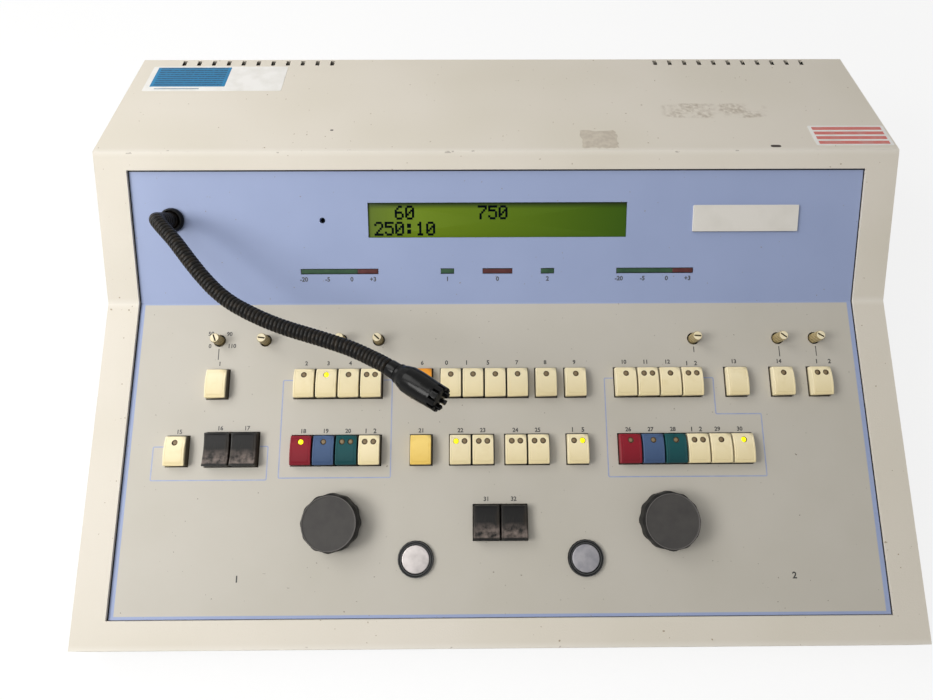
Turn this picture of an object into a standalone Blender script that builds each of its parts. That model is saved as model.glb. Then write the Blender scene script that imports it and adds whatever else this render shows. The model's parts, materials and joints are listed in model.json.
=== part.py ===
"""Desktop two-channel clinical audiometer, built for Blender 4.5 in metres with +Z up.

A painted steel cover with a window, a bent control panel behind the window, a board that carries
forty keys, two touch buttons, two level dials and seven trim spindles, a display board, a microphone
on a gooseneck, and a tray that carries the mains and socket board and stands on four feet.
The origin is the middle of the footprint.
"""

import math

import bmesh
import bpy
from mathutils import Matrix, Vector

# Clearances that every piece shares
FIT_GAP = 0.0003
CUT_OVERRUN = 0.004
POINT_MERGE = 0.000003

# Case: the outer faces of the cover, seen from the side
CASE_WIDTH = 0.460
KEYPAD_LENGTH = 0.191
KEYPAD_SLOPE = math.radians(14.0)
DISPLAY_LENGTH = 0.0865
DISPLAY_SLOPE = math.radians(36.0)
DECK_LENGTH = 0.098
DECK_SLOPE = math.radians(11.0)
LIP_HEIGHT = 0.019
FOOT_HEIGHT = 0.005
FOOT_RADIUS = 0.008
FOOT_INSET = 0.028
COVER_WALL = 0.0015
COVER_EDGE_RADIUS = 0.0015
COVER_EDGE_STEPS = 2

# Window in the cover, and the bent panel that lies under its edges
WINDOW_WIDTH = 0.424
HALF_WINDOW = WINDOW_WIDTH / 2
WINDOW_FRONT_BORDER = 0.0148
WINDOW_TOP_BORDER = 0.0103
PANEL_THICKNESS = 0.002
PANEL_LAP = 0.006

# Vent slots along the rear edge of the deck
VENT_COUNT = 11
VENT_PITCH = 0.00965
VENT_WIDTH = 0.0026
VENT_LENGTH = 0.0054
VENT_FROM_REAR = 0.0014
VENT_GROUP_X = 0.1543

# Keys, measured from the fold of the panel
ROW_A_DROP = 0.0486
ROW_B_DROP = 0.0868
ROW_C_DROP = 0.1268
KEY_PITCH = 0.0128
WIDE_PITCH = 0.01524
KEY_SIDE_GAP = 0.0005
KEY_LENGTH = 0.0170
WIDE_KEY_LENGTH = 0.0192
KEY_DRAFT = 0.00045
KEY_FRONT_HEIGHT = 0.0045
KEY_BACK_HEIGHT = 0.0038
KEY_CROWN = 0.00125
DISH_FRONT_HEIGHT = 0.0060
DISH_BACK_HEIGHT = 0.0050
DISH_DEPTH = 0.0012
KEY_SKIRT = 0.0015
KEY_EDGE = 0.0004
CROWN_STEPS = 5
KEY_TRAVEL = 0.0025
STEM_INSET = 0.0040
STEM_ENGAGEMENT = 0.0035
HOLE_CLEARANCE = 0.0004
LAMP_RADIUS = 0.0015
LAMP_SPREAD = 0.0048
LAMP_FROM_BACK = 0.0039
LAMP_RECESS = 0.0005
LAMP_SIDES = 10

# Places of the key groups across the panel, as shares of half the window
CHANNEL_SHARE = 0.436792453
ROUTE_GROUP_SHARE = 0.5
CENTRE_GROUP_SHARE = -0.039386792
SINGLE_SHARE = 0.209433962
PAIR_SHARE = 0.074056604
AUTO_SHARE = 0.129245283
DELETE_SHARE = 0.650943396
TALK_SHARE = 0.76509434
TALK_BACK_SHARE = 0.775943396
MONITOR_SHARE = 0.879716981
CLEAR_SHARE = 0.859433962
SCORE_SHARE = 0.714622642
SCORE_DROP = 0.0860

# Touch buttons in their rings
TOUCH_SHARE = 0.220283019
TOUCH_X = TOUCH_SHARE * HALF_WINDOW
TOUCH_DROP = 0.1461
TOUCH_RADIUS = 0.0077
TOUCH_HEIGHT = 0.0014
TOUCH_CHAMFER = 0.0004
TOUCH_PLATE = 0.0040
TOUCH_STEM_RADIUS = 0.0039
TOUCH_TRAVEL = 0.0008
RING_RADIUS = 0.00965
RING_HEIGHT = 0.0018

# Level dials
DIAL_SHARE = 0.437735849
DIAL_X = DIAL_SHARE * HALF_WINDOW
DIAL_DROP = 0.1262
DIAL_RADIUS = 0.0160
DIAL_TOP_RADIUS = 0.0147
DIAL_HEIGHT = 0.0109
DIAL_CHAMFER = 0.0010
DIAL_LIFT = 0.0008
DIAL_LOBES = 12
DIAL_LOBE_DEPTH = 0.0006
DIAL_SHAFT_RADIUS = 0.003
ENCODER_SIZE = 0.0140

# Trim spindles
SPINDLE_DROP = 0.0227
SPINDLE_RADIUS = 0.00275
SPINDLE_HEIGHT = 0.0082
SPINDLE_COLLAR = 0.0036
SPINDLE_SHAFT_RADIUS = 0.0020
SPINDLE_SLOT_WIDTH = 0.0009
SPINDLE_SLOT_DEPTH = 0.0010
SPINDLE_HOLE_CLEARANCE = 0.0009
TRIMMER_SIZE = 0.0095
OUTER_SPINDLE_SHARE = 0.770754717
LAMP_SPINDLE_SHARE = 0.643867925
FIRST_SPINDLE_SHARE = 0.433962264
SECOND_SPINDLE_SHARE = 0.330660377
RIGHT_SPINDLE_SHARE = 0.543867925
TALK_SPINDLE_SHARE = 0.779245283
MONITOR_SPINDLE_SHARE = 0.881132075

# Key board under the panel
BOARD_THICKNESS = 0.0016
BOARD_SIDE_INSET = 0.0120
BOARD_HALF_WIDTH = HALF_WINDOW - BOARD_SIDE_INSET
BOARD_TOP_MARGIN = 0.0105
BOARD_FRONT_MARGIN = 0.0150
SWITCH_SIDE_GAP = 0.0010
SWITCH_LENGTH = 0.0145
SWITCH_FLOOR = 0.0010
POST_RADIUS = 0.0030
POST_INSET = 0.0040
POST_X = BOARD_HALF_WIDTH - POST_INSET
BODY_EMBED = 0.0005

# Display face, measured from the fold upwards
LCD_RISE = 0.0482
LCD_WINDOW_WIDTH = 0.1510
LCD_WINDOW_HEIGHT = 0.0200
LCD_RECESS = 0.0010
LCD_BODY_MARGIN = 0.0040
BAR_RISE = 0.0186
BAR_SHARE = 0.439622642
BAR_X = BAR_SHARE * HALF_WINDOW
BAR_WIDTH = 0.0458
BAR_HEIGHT = 0.0033
BAR_RECESS = 0.0004
TONE_LAMP_X = 0.0296
TONE_LAMP_WIDTH = 0.0080
RESPONSE_LAMP_WIDTH = 0.0177
SENSOR_X = 0.1020
SENSOR_RADIUS = 0.0013
DISPLAY_BOARD_DEPTH = 0.0060
DISPLAY_BOARD_HALF_WIDTH = 0.1300
DISPLAY_BOARD_MARGIN = 0.0060
BADGE_SHARE = 0.682075472
BADGE_X = BADGE_SHARE * HALF_WINDOW
BADGE_RISE = 0.0487
BADGE_WIDTH = 0.0614
BADGE_HEIGHT = 0.0150
BADGE_THICKNESS = 0.0012

# Microphone on its gooseneck
MIC_FROM_SIDE = 0.0232
MIC_X = HALF_WINDOW - MIC_FROM_SIDE
MIC_RISE = 0.0487
SOCKET_FLANGE_RADIUS = 0.0069
SOCKET_HEIGHT = 0.0035
SOCKET_CHAMFER = 0.0007
SOCKET_BARREL_RADIUS = 0.0060
SOCKET_NUT_RADIUS = 0.0080
SOCKET_NUT_HEIGHT = 0.0030
SOCKET_TAIL = 0.0020
BALL_RADIUS = 0.0050
BALL_CENTRE_HEIGHT = 0.0015
BALL_LIP = 0.0008
MOUTH_RADIUS = 0.0057
BALL_STEPS = 6
ARM_RADIUS = 0.0040
ARM_GROOVE = 0.00045
ARM_RIB_PITCH = 0.0022
ARM_PLAIN_END = 0.0010
REACH_ACROSS = 0.1599
REACH_DOWN = 0.0818
REACH_UP = 0.1016
HEAD_LENGTH = 0.0320
HEAD_RADIUS = 0.0066
FERRULE_RADIUS = 0.0042
FERRULE_LENGTH = 0.0050
GROOVE_RADIUS = 0.0038
GROOVE_LENGTH = 0.0006
COLLAR_RADIUS = 0.0049
COLLAR_LENGTH = 0.0018
FLARE_LENGTH = 0.0070
CROWN_LENGTH = 0.0060
CROWN_RADIUS = 0.0062
CROWN_SLOTS = 10
CROWN_SLOT_DEPTH = 0.0011
CROWN_RECESS = 0.0016

# Route of the gooseneck from its socket to the tip of the microphone, as shares of its reach each way
ARM_ROUTE_SHARES = (
    (0.0, 0.0, 0.0),
    (0.0, 0.0, 0.090),
    (0.0, 0.0, 0.165),
    (0.013, 0.009, 0.225),
    (0.044, 0.056, 0.272),
    (0.098, 0.148, 0.328),
    (0.154, 0.261, 0.385),
    (0.205, 0.363, 0.430),
    (0.261, 0.458, 0.474),
    (0.315, 0.526, 0.510),
    (0.377, 0.583, 0.544),
    (0.445, 0.635, 0.577),
    (0.520, 0.678, 0.614),
    (0.600, 0.715, 0.655),
    (0.692, 0.759, 0.707),
    (0.743, 0.789, 0.742),
    (0.785, 0.818, 0.777),
    (0.833, 0.851, 0.827),
    (0.939, 0.944, 0.937),
    (1.0, 1.0, 1.0),
)

# Tray, with its rear wall, and the mains and socket board on it
TRAY_WALL = 0.0015
TRAY_LIP = 0.0080
REAR_WALL_HEIGHT = 0.0500
REAR_NOTCH_HALF_WIDTH = 0.2150
REAR_NOTCH_HEIGHT = 0.0440
STANDOFF_RADIUS = 0.0030
STANDOFF_HEIGHT = 0.0060
MAIN_BOARD_HALF_WIDTH = 0.1750
MAIN_BOARD_LENGTH = 0.1100
MAIN_BOARD_SETBACK = 0.0020
STANDOFF_INSET = 0.0080
INLET_X = 0.1500
INLET_WIDTH = 0.0280
INLET_HEIGHT = 0.0200
INLET_DEPTH = 0.0200
INLET_WALL = 0.0018
INLET_CAVITY_DEPTH = 0.0140
INLET_PROUD = 0.0010
JACK_COUNT = 4
JACK_PITCH = 0.0300
JACK_BANK_X = 0.0500
JACK_BODY_WIDTH = 0.0160
JACK_BODY_HEIGHT = 0.0170
JACK_BODY_DEPTH = 0.0240
JACK_BUSH_RADIUS = 0.0050
JACK_BORE_RADIUS = 0.0032
JACK_BORE_DEPTH = 0.0160
JACK_PROUD = 0.0015
TRANSFORMER_X = 0.1450
TRANSFORMER_WIDTH = 0.0560
TRANSFORMER_LENGTH = 0.0460
TRANSFORMER_HEIGHT = 0.0360
TRANSFORMER_SETBACK = 0.0620
CAPACITOR_RADIUS = 0.0090
CAPACITOR_HEIGHT = 0.0250
CAPACITOR_PITCH = 0.0240
CAPACITOR_COUNT = 2
CAPACITOR_X = 0.0850
CAPACITOR_SETBACK = 0.0700

# Counts and angles of round pieces
FINE_SIDES = 24
SMALL_SIDES = 16
HOLE_SIDES = 20
ARM_SIDES = 10
DIAL_SIDES_PER_LOBE = 5
CROWN_SIDES_PER_SLOT = 4
ROUTE_SAMPLES = 40
SMOOTH_ANGLE = math.radians(32.0)
EDGE_ANGLE = math.radians(40.0)

# Key groups: names from left to right, place across as a share of half the window, drop from the fold, and pitch
KEY_GROUPS = (
    (("talk_forward_key",), -TALK_SHARE, ROW_A_DROP, KEY_PITCH),
    (("warble_key", "tone_key_1", "mic_key_1", "tape_key_1"), -CHANNEL_SHARE, ROW_A_DROP, KEY_PITCH),
    (("extended_range_key",), -SINGLE_SHARE, ROW_A_DROP, KEY_PITCH),
    (("step_0_key", "step_1_key", "step_5_key", "increment_test_key"), CENTRE_GROUP_SHARE, ROW_A_DROP, KEY_PITCH),
    (("auto_threshold_key",), AUTO_SHARE, ROW_A_DROP, KEY_PITCH),
    (("channel_sync_key",), SINGLE_SHARE, ROW_A_DROP, KEY_PITCH),
    (("tone_key_2", "noise_key_2", "mic_key_2", "tape_key_2"), CHANNEL_SHARE, ROW_A_DROP, KEY_PITCH),
    (("delete_key",), DELETE_SHARE, ROW_A_DROP, KEY_PITCH),
    (("talk_back_key",), TALK_BACK_SHARE, ROW_A_DROP, KEY_PITCH),
    (("monitor_key",), MONITOR_SHARE, ROW_A_DROP, KEY_PITCH),
    (("clear_key",), -CLEAR_SHARE, ROW_B_DROP, KEY_PITCH),
    (("incorrect_key", "correct_key"), -SCORE_SHARE, SCORE_DROP, WIDE_PITCH),
    (("right_key_1", "left_key_1", "bone_key_1", "speaker_key_1"), -CHANNEL_SHARE, ROW_B_DROP, KEY_PITCH),
    (("store_key",), -SINGLE_SHARE, ROW_B_DROP, KEY_PITCH),
    (("manual_key_1", "pulse_key"), -PAIR_SHARE, ROW_B_DROP, KEY_PITCH),
    (("manual_key_2", "alternate_key"), PAIR_SHARE, ROW_B_DROP, KEY_PITCH),
    (("decibel_key",), SINGLE_SHARE, ROW_B_DROP, KEY_PITCH),
    (
        ("right_key_2", "left_key_2", "bone_key_2", "speaker_key_2", "insert_key_2", "off_key_2"),
        ROUTE_GROUP_SHARE,
        ROW_B_DROP,
        KEY_PITCH,
    ),
    (("lower_key", "raise_key"), 0.0, ROW_C_DROP, WIDE_PITCH),
)

# Caps without a lamp, and caps with two; every other cap has one
PLAIN_CAPS = ("talk_forward_key", "delete_key", "store_key", "incorrect_key", "correct_key", "lower_key", "raise_key")
TWIN_LAMP_CAPS = (
    "tape_key_1",
    "noise_key_2",
    "tape_key_2",
    "monitor_key",
    "bone_key_1",
    "speaker_key_1",
    "manual_key_1",
    "pulse_key",
    "manual_key_2",
    "alternate_key",
    "decibel_key",
    "speaker_key_2",
)

# Trim spindles: name, place across as a share of half the window, and the turn of the slot from straight across,
# in degrees
SPINDLES = (
    ("assistant_spindle", -OUTER_SPINDLE_SHARE, -70),
    ("lamp_spindle", -LAMP_SPINDLE_SHARE, -8),
    ("calibration_spindle_1", -FIRST_SPINDLE_SHARE, -20),
    ("calibration_spindle_2", -SECOND_SPINDLE_SHARE, -42),
    ("calibration_spindle_3", RIGHT_SPINDLE_SHARE, -4),
    ("talk_back_spindle", TALK_SPINDLE_SHARE, -38),
    ("monitor_spindle", MONITOR_SPINDLE_SHARE, -33),
)

# Colours of the caps that aren't cream
CAP_COLOURS = {
    "right_key_1": "red",
    "right_key_2": "red",
    "left_key_1": "blue",
    "left_key_2": "blue",
    "bone_key_1": "green",
    "bone_key_2": "green",
    "extended_range_key": "orange",
    "store_key": "yellow",
    "incorrect_key": "black",
    "correct_key": "black",
    "lower_key": "black",
    "raise_key": "black",
}
CAP_FINISHES = {
    "cream": (0.80, 0.70, 0.44),
    "red": (0.33, 0.020, 0.036),
    "blue": (0.085, 0.130, 0.260),
    "green": (0.014, 0.112, 0.112),
    "orange": (0.90, 0.36, 0.050),
    "yellow": (0.80, 0.58, 0.14),
    "black": (0.030, 0.030, 0.032),
}

# Heights that follow from the sizes above, measured from the top of the panel
PANEL_RECESS = COVER_WALL + FIT_GAP
PANEL_UNDERSIDE = -PANEL_THICKNESS
SEAT_HEIGHT = PANEL_UNDERSIDE - FIT_GAP
SWITCH_TOP = -(KEY_SKIRT + KEY_TRAVEL + FIT_GAP)
STEM_BOTTOM = SWITCH_TOP - STEM_ENGAGEMENT
POCKET_BOTTOM = STEM_BOTTOM - KEY_TRAVEL - FIT_GAP
BOARD_TOP = POCKET_BOTTOM - SWITCH_FLOOR
BOARD_BOTTOM = BOARD_TOP - BOARD_THICKNESS
LCD_WINDOW_TOP = LCD_RISE + LCD_WINDOW_HEIGHT / 2


def clear_scene():
    for obj in list(bpy.data.objects):
        bpy.data.objects.remove(obj, do_unlink=True)


def finish(name, colour, roughness, metallic=0.0):
    """A plain painted, moulded or bare metal finish."""
    material = bpy.data.materials.new(name)
    material.use_nodes = True
    shader = material.node_tree.nodes["Principled BSDF"]
    shader.inputs["Base Color"].default_value = (*colour, 1.0)
    shader.inputs["Roughness"].default_value = roughness
    shader.inputs["Metallic"].default_value = metallic
    return material


def new_object(name, bm, material=None, parent=None, location=(0.0, 0.0, 0.0), smooth=False):
    """Turns a bmesh into an object with its faces pointing out."""
    bmesh.ops.recalc_face_normals(bm, faces=bm.faces)
    mesh = bpy.data.meshes.new(name)
    bm.to_mesh(mesh)
    bm.free()
    if smooth:
        mesh.shade_smooth()
        mesh.set_sharp_from_angle(angle=SMOOTH_ANGLE)
    if material:
        mesh.materials.append(material)
    obj = bpy.data.objects.new(name, mesh)
    bpy.context.scene.collection.objects.link(obj)
    obj.parent = parent
    obj.location = location
    return obj


def helper(obj):
    """Keeps a cutter or a joined shape out of the model."""
    obj.hide_render = True
    obj.display_type = "WIRE"
    return obj


def combine(obj, tool, operation):
    modifier = obj.modifiers.new(tool.name, "BOOLEAN")
    modifier.operation = operation
    modifier.solver = "EXACT"
    modifier.object = helper(tool)


def box(bm, x, y, width, length, low, high):
    """A block centred on x and y between two heights."""
    place = Matrix.Translation((x, y, (low + high) / 2))
    bmesh.ops.create_cube(bm, size=1, matrix=place @ Matrix.Diagonal((width, length, high - low, 1)))


def cylinder(bm, x, y, radius, low, high, sides):
    place = Matrix.Translation((x, y, (low + high) / 2))
    bmesh.ops.create_cone(
        bm, cap_ends=True, segments=sides, radius1=radius, radius2=radius, depth=high - low, matrix=place
    )


def prism(outline, half_width):
    """A side outline of (y, z) points carried across from one side to the other."""
    bm = bmesh.new()
    sides = [[bm.verts.new((x, y, z)) for y, z in outline] for x in (-half_width, half_width)]
    bm.faces.new(sides[0])
    bm.faces.new(reversed(sides[1]))
    for i in range(len(outline)):
        j = (i + 1) % len(outline)
        bm.faces.new((sides[0][i], sides[1][i], sides[1][j], sides[0][j]))
    return bm


def turned(rings, sides, ripple=None):
    """A turned solid from (radius, height, ripple depth) rings, with a point on the axis at each end."""
    bm = bmesh.new()
    loops = []
    for radius, height, depth in rings:
        if radius == 0.0:
            loops.append([bm.verts.new((0.0, 0.0, height))])
            continue
        angles = [2 * math.pi * i / sides for i in range(sides)]
        radii = [radius - (depth * ripple(i) if ripple else 0.0) for i in range(sides)]
        places = [(r * math.cos(a), r * math.sin(a), height) for r, a in zip(radii, angles)]
        loops.append([bm.verts.new(place) for place in places])
    skin(bm, loops, sides)
    return bm


def skin(bm, loops, sides):
    """Joins rings of points, and single end points, with faces."""
    for low, high in zip(loops, loops[1:]):
        for i in range(sides):
            j = (i + 1) % sides
            corners = [low[i % len(low)], low[j % len(low)], high[j % len(high)], high[i % len(high)]]
            bm.faces.new(list(dict.fromkeys(corners)))


def offset_path(points, distance):
    """A path of (y, z) points moved to its left by a distance, with mitred corners."""
    ways = [(Vector(b) - Vector(a)).normalized() for a, b in zip(points, points[1:])]
    normals = [Vector((-way.y, way.x)) for way in ways]
    before = [normals[0], *normals]
    after = [*normals, normals[-1]]
    moved = [Vector(p) + (a + b) * (distance / (1 + a.dot(b))) for p, a, b in zip(points, before, after)]
    return [(point.x, point.y) for point in moved]


def band(points, top, bottom):
    """The closed outline of a strip that lies along a path between two offsets from it."""
    return offset_path(points, top) + offset_path(points, bottom)[::-1]


def along(start, slope, distance):
    return (start[0] + distance * math.cos(slope), start[1] + distance * math.sin(slope))


def case_outline():
    """The outer corners of the case from the bottom of the front to the bottom of the back."""
    run = (
        KEYPAD_LENGTH * math.cos(KEYPAD_SLOPE)
        + DISPLAY_LENGTH * math.cos(DISPLAY_SLOPE)
        + DECK_LENGTH * math.cos(DECK_SLOPE)
    )
    lip = (-run / 2, FOOT_HEIGHT + LIP_HEIGHT)
    fold = along(lip, KEYPAD_SLOPE, KEYPAD_LENGTH)
    crest = along(fold, DISPLAY_SLOPE, DISPLAY_LENGTH)
    rear = along(crest, -DECK_SLOPE, DECK_LENGTH)
    return [(lip[0], FOOT_HEIGHT), lip, fold, crest, rear, (rear[0], FOOT_HEIGHT)]


CASE = case_outline()
FRONT_Y = CASE[0][0]
REAR_Y = CASE[-1][0]
LIP, FOLD, CREST, REAR_EDGE = CASE[1:5]


def window_path(lap):
    """The bent line from the front of the window to its top, made longer by a lap at each end."""
    start = along(LIP, KEYPAD_SLOPE, WINDOW_FRONT_BORDER - lap)
    end = along(CREST, DISPLAY_SLOPE, -(WINDOW_TOP_BORDER - lap))
    return [start, FOLD, end]


def face_frame(name, slope):
    """An empty on the fold of the panel's top, with +Y up the face and +Z out of it."""
    fold = offset_path(window_path(PANEL_LAP), -PANEL_RECESS)[1]
    empty = bpy.data.objects.new(name, None)
    bpy.context.scene.collection.objects.link(empty)
    empty.location = (0.0, fold[0], fold[1])
    empty.rotation_euler = (slope, 0.0, 0.0)
    return empty


def key_places():
    """Each key with its place across, its drop and its pitch."""
    for names, share, drop, pitch in KEY_GROUPS:
        for i, name in enumerate(names):
            yield name, share * HALF_WINDOW + (i - (len(names) - 1) / 2) * pitch, drop, pitch


def key_length(pitch):
    return WIDE_KEY_LENGTH if pitch == WIDE_PITCH else KEY_LENGTH


def make_cover(paint):
    """The folded steel cover: front, keypad frame, display frame, deck, back and two cheeks."""
    bm = prism(CASE, CASE_WIDTH / 2)
    upper = [e for e in bm.edges if max(v.co.z for v in e.verts) > FOOT_HEIGHT + FIT_GAP]
    sharp = [e for e in upper if e.calc_face_angle() > SMOOTH_ANGLE]
    bmesh.ops.bevel(
        bm, geom=sharp, offset=COVER_EDGE_RADIUS, segments=COVER_EDGE_STEPS, profile=0.5, affect="EDGES"
    )
    cover = new_object("top_cover", bm, paint, smooth=True)

    inside = offset_path(CASE, -COVER_WALL)
    inside[0] = (inside[0][0], FOOT_HEIGHT - CUT_OVERRUN)
    inside[-1] = (inside[-1][0], FOOT_HEIGHT - CUT_OVERRUN)
    combine(cover, new_object("cover_inside", prism(inside, CASE_WIDTH / 2 - COVER_WALL)), "DIFFERENCE")

    opening = band(window_path(0.0), CUT_OVERRUN, -COVER_WALL - CUT_OVERRUN)
    combine(cover, new_object("window_cutter", prism(opening, HALF_WINDOW)), "DIFFERENCE")

    bm = bmesh.new()
    for side in (-1, 1):
        for i in range(VENT_COUNT):
            x = side * VENT_GROUP_X + (i - (VENT_COUNT - 1) / 2) * VENT_PITCH
            y = REAR_Y - VENT_FROM_REAR - VENT_LENGTH / 2
            box(bm, x, y, VENT_WIDTH, VENT_LENGTH, REAR_EDGE[1] - CUT_OVERRUN, REAR_EDGE[1] + CUT_OVERRUN)
    combine(cover, new_object("vent_cutter", bm), "DIFFERENCE")

    bm = bmesh.new()
    notch_top = FOOT_HEIGHT + REAR_NOTCH_HEIGHT
    depth = 2 * (COVER_WALL + CUT_OVERRUN)
    box(bm, 0.0, REAR_Y, 2 * REAR_NOTCH_HALF_WIDTH, depth, FOOT_HEIGHT - CUT_OVERRUN, notch_top)
    combine(cover, new_object("rear_notch_cutter", bm), "DIFFERENCE")
    return cover


def make_panel(finish_blue, keypad, display):
    """The bent control panel, with a hole for every group of keys and every control and window."""
    outline = band(window_path(PANEL_LAP), -PANEL_RECESS, -PANEL_RECESS - PANEL_THICKNESS)
    panel = new_object("control_panel", prism(outline, HALF_WINDOW + PANEL_LAP), finish_blue)
    low = -PANEL_THICKNESS - CUT_OVERRUN

    bm = bmesh.new()
    for names, share, drop, pitch in KEY_GROUPS:
        width = len(names) * pitch - KEY_SIDE_GAP + 2 * HOLE_CLEARANCE
        length = key_length(pitch) + 2 * HOLE_CLEARANCE
        box(bm, share * HALF_WINDOW, -drop, width, length, low, CUT_OVERRUN)
    shaft_hole = DIAL_SHAFT_RADIUS + HOLE_CLEARANCE
    for side in (-1, 1):
        cylinder(bm, side * TOUCH_X, -TOUCH_DROP, RING_RADIUS + FIT_GAP, low, CUT_OVERRUN, FINE_SIDES)
        cylinder(bm, side * DIAL_X, -DIAL_DROP, shaft_hole, low, CUT_OVERRUN, HOLE_SIDES)
    for _, share, _ in SPINDLES:
        x = share * HALF_WINDOW
        cylinder(bm, x, -SPINDLE_DROP, SPINDLE_RADIUS + SPINDLE_HOLE_CLEARANCE, low, CUT_OVERRUN, HOLE_SIDES)
    combine(panel, new_object("keypad_holes", bm, parent=keypad), "DIFFERENCE")

    bm = bmesh.new()
    box(bm, 0.0, LCD_RISE, LCD_WINDOW_WIDTH, LCD_WINDOW_HEIGHT, low, CUT_OVERRUN)
    for x, width in lamp_windows():
        box(bm, x, BAR_RISE, width, BAR_HEIGHT, low, CUT_OVERRUN)
    cylinder(bm, -SENSOR_X, LCD_RISE, SENSOR_RADIUS, low, CUT_OVERRUN, LAMP_SIDES)
    cylinder(bm, -MIC_X, MIC_RISE, SOCKET_BARREL_RADIUS + FIT_GAP, low, CUT_OVERRUN, FINE_SIDES)
    combine(panel, new_object("display_holes", bm, parent=display), "DIFFERENCE")

    bm = bmesh.new()
    box(bm, BADGE_X, BADGE_RISE, BADGE_WIDTH, BADGE_HEIGHT, -BODY_EMBED, BADGE_THICKNESS)
    combine(panel, new_object("badge_plate", bm, parent=display), "UNION")
    return panel


def lamp_windows():
    """The five lamp windows along the foot of the display face, as a place across and a width."""
    return (
        (-BAR_X, BAR_WIDTH),
        (BAR_X, BAR_WIDTH),
        (-TONE_LAMP_X, TONE_LAMP_WIDTH),
        (TONE_LAMP_X, TONE_LAMP_WIDTH),
        (0.0, RESPONSE_LAMP_WIDTH),
    )


def cap_profile(pitch):
    """The side outline of a cap: crowned on a narrow key, dished on a wide one."""
    half = key_length(pitch) / 2
    if pitch == WIDE_PITCH:
        front, back, bow = DISH_FRONT_HEIGHT, DISH_BACK_HEIGHT, -DISH_DEPTH
    else:
        front, back, bow = KEY_FRONT_HEIGHT, KEY_BACK_HEIGHT, KEY_CROWN
    points = [(-half, -KEY_SKIRT)]
    for i in range(CROWN_STEPS + 1):
        share = i / CROWN_STEPS
        y = (2 * share - 1) * (half - KEY_DRAFT)
        points.append((y, front + (back - front) * share + bow * 4 * share * (1 - share)))
    points.append((half, -KEY_SKIRT))
    return points


def key_mesh(pitch):
    """A drafted cap with a stem under it."""
    profile = cap_profile(pitch)
    half = (pitch - KEY_SIDE_GAP) / 2
    lean = KEY_DRAFT / (max(z for _, z in profile) + KEY_SKIRT)
    bm = bmesh.new()
    rows = []
    for side in (-1, 1):
        places = [(side * (half - lean * (z + KEY_SKIRT)), y, z) for y, z in profile]
        rows.append([bm.verts.new(place) for place in places])
    bm.faces.new(rows[0])
    bm.faces.new(reversed(rows[1]))
    count = len(profile)
    for i in range(count - 1):
        bm.faces.new((rows[0][i], rows[1][i], rows[1][i + 1], rows[0][i + 1]))
    base = bm.faces.new((rows[0][-1], rows[1][-1], rows[1][0], rows[0][0]))
    bmesh.ops.recalc_face_normals(bm, faces=bm.faces)
    bmesh.ops.inset_region(bm, faces=[base], thickness=STEM_INSET, depth=0.0, use_even_offset=True)
    stem = bmesh.ops.extrude_face_region(bm, geom=[base])
    bmesh.ops.delete(bm, geom=[base], context="FACES_ONLY")
    moved = [v for v in stem["geom"] if isinstance(v, bmesh.types.BMVert)]
    bmesh.ops.translate(bm, verts=moved, vec=(0.0, 0.0, STEM_BOTTOM + KEY_SKIRT))
    rim = [
        e
        for e in bm.edges
        if all(v.co.z > 0.0 for v in e.verts) and len(e.link_faces) == 2 and e.calc_face_angle() > EDGE_ANGLE
    ]
    bmesh.ops.bevel(bm, geom=rim, offset=KEY_EDGE, segments=1, profile=0.5, affect="EDGES")
    return bm


def lamp_height(pitch):
    """Height of the crown where the lamps sit."""
    profile = cap_profile(pitch)[1:-1]
    y = key_length(pitch) / 2 - LAMP_FROM_BACK
    for (y0, z0), (y1, z1) in zip(profile, profile[1:]):
        if y0 <= y <= y1:
            return z0 + (z1 - z0) * (y - y0) / (y1 - y0)
    return profile[-1][1]


def make_keys(caps, keypad):
    """Forty caps, most with one or two round seats for lamps."""
    for name, x, drop, pitch in key_places():
        place = (x, -drop, 0.0)
        key = new_object(name, key_mesh(pitch), caps[CAP_COLOURS.get(name, "cream")], keypad, place)
        if name in PLAIN_CAPS:
            continue
        bm = bmesh.new()
        floor = lamp_height(pitch) - LAMP_RECESS
        y = key_length(pitch) / 2 - LAMP_FROM_BACK
        for offset in (-LAMP_SPREAD / 2, LAMP_SPREAD / 2) if name in TWIN_LAMP_CAPS else (0.0,):
            cylinder(bm, offset, y, LAMP_RADIUS, floor, floor + CUT_OVERRUN, LAMP_SIDES)
        combine(key, new_object(name + "_lamp_cutter", bm, parent=keypad, location=place), "DIFFERENCE")


def make_touch_buttons(metal, keypad):
    """Two round metal buttons that sink a little into their rings."""
    shoulder = TOUCH_HEIGHT - TOUCH_PLATE
    rings = (
        (0.0, STEM_BOTTOM, 0.0),
        (TOUCH_STEM_RADIUS, STEM_BOTTOM, 0.0),
        (TOUCH_STEM_RADIUS, shoulder, 0.0),
        (TOUCH_RADIUS, shoulder, 0.0),
        (TOUCH_RADIUS, TOUCH_HEIGHT - TOUCH_CHAMFER, 0.0),
        (TOUCH_RADIUS - TOUCH_CHAMFER, TOUCH_HEIGHT, 0.0),
        (0.0, TOUCH_HEIGHT, 0.0),
    )
    for name, side in (("touch_button_left", -1), ("touch_button_right", 1)):
        new_object(name, turned(rings, FINE_SIDES), metal, keypad, (side * TOUCH_X, -TOUCH_DROP, 0.0), True)


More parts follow.
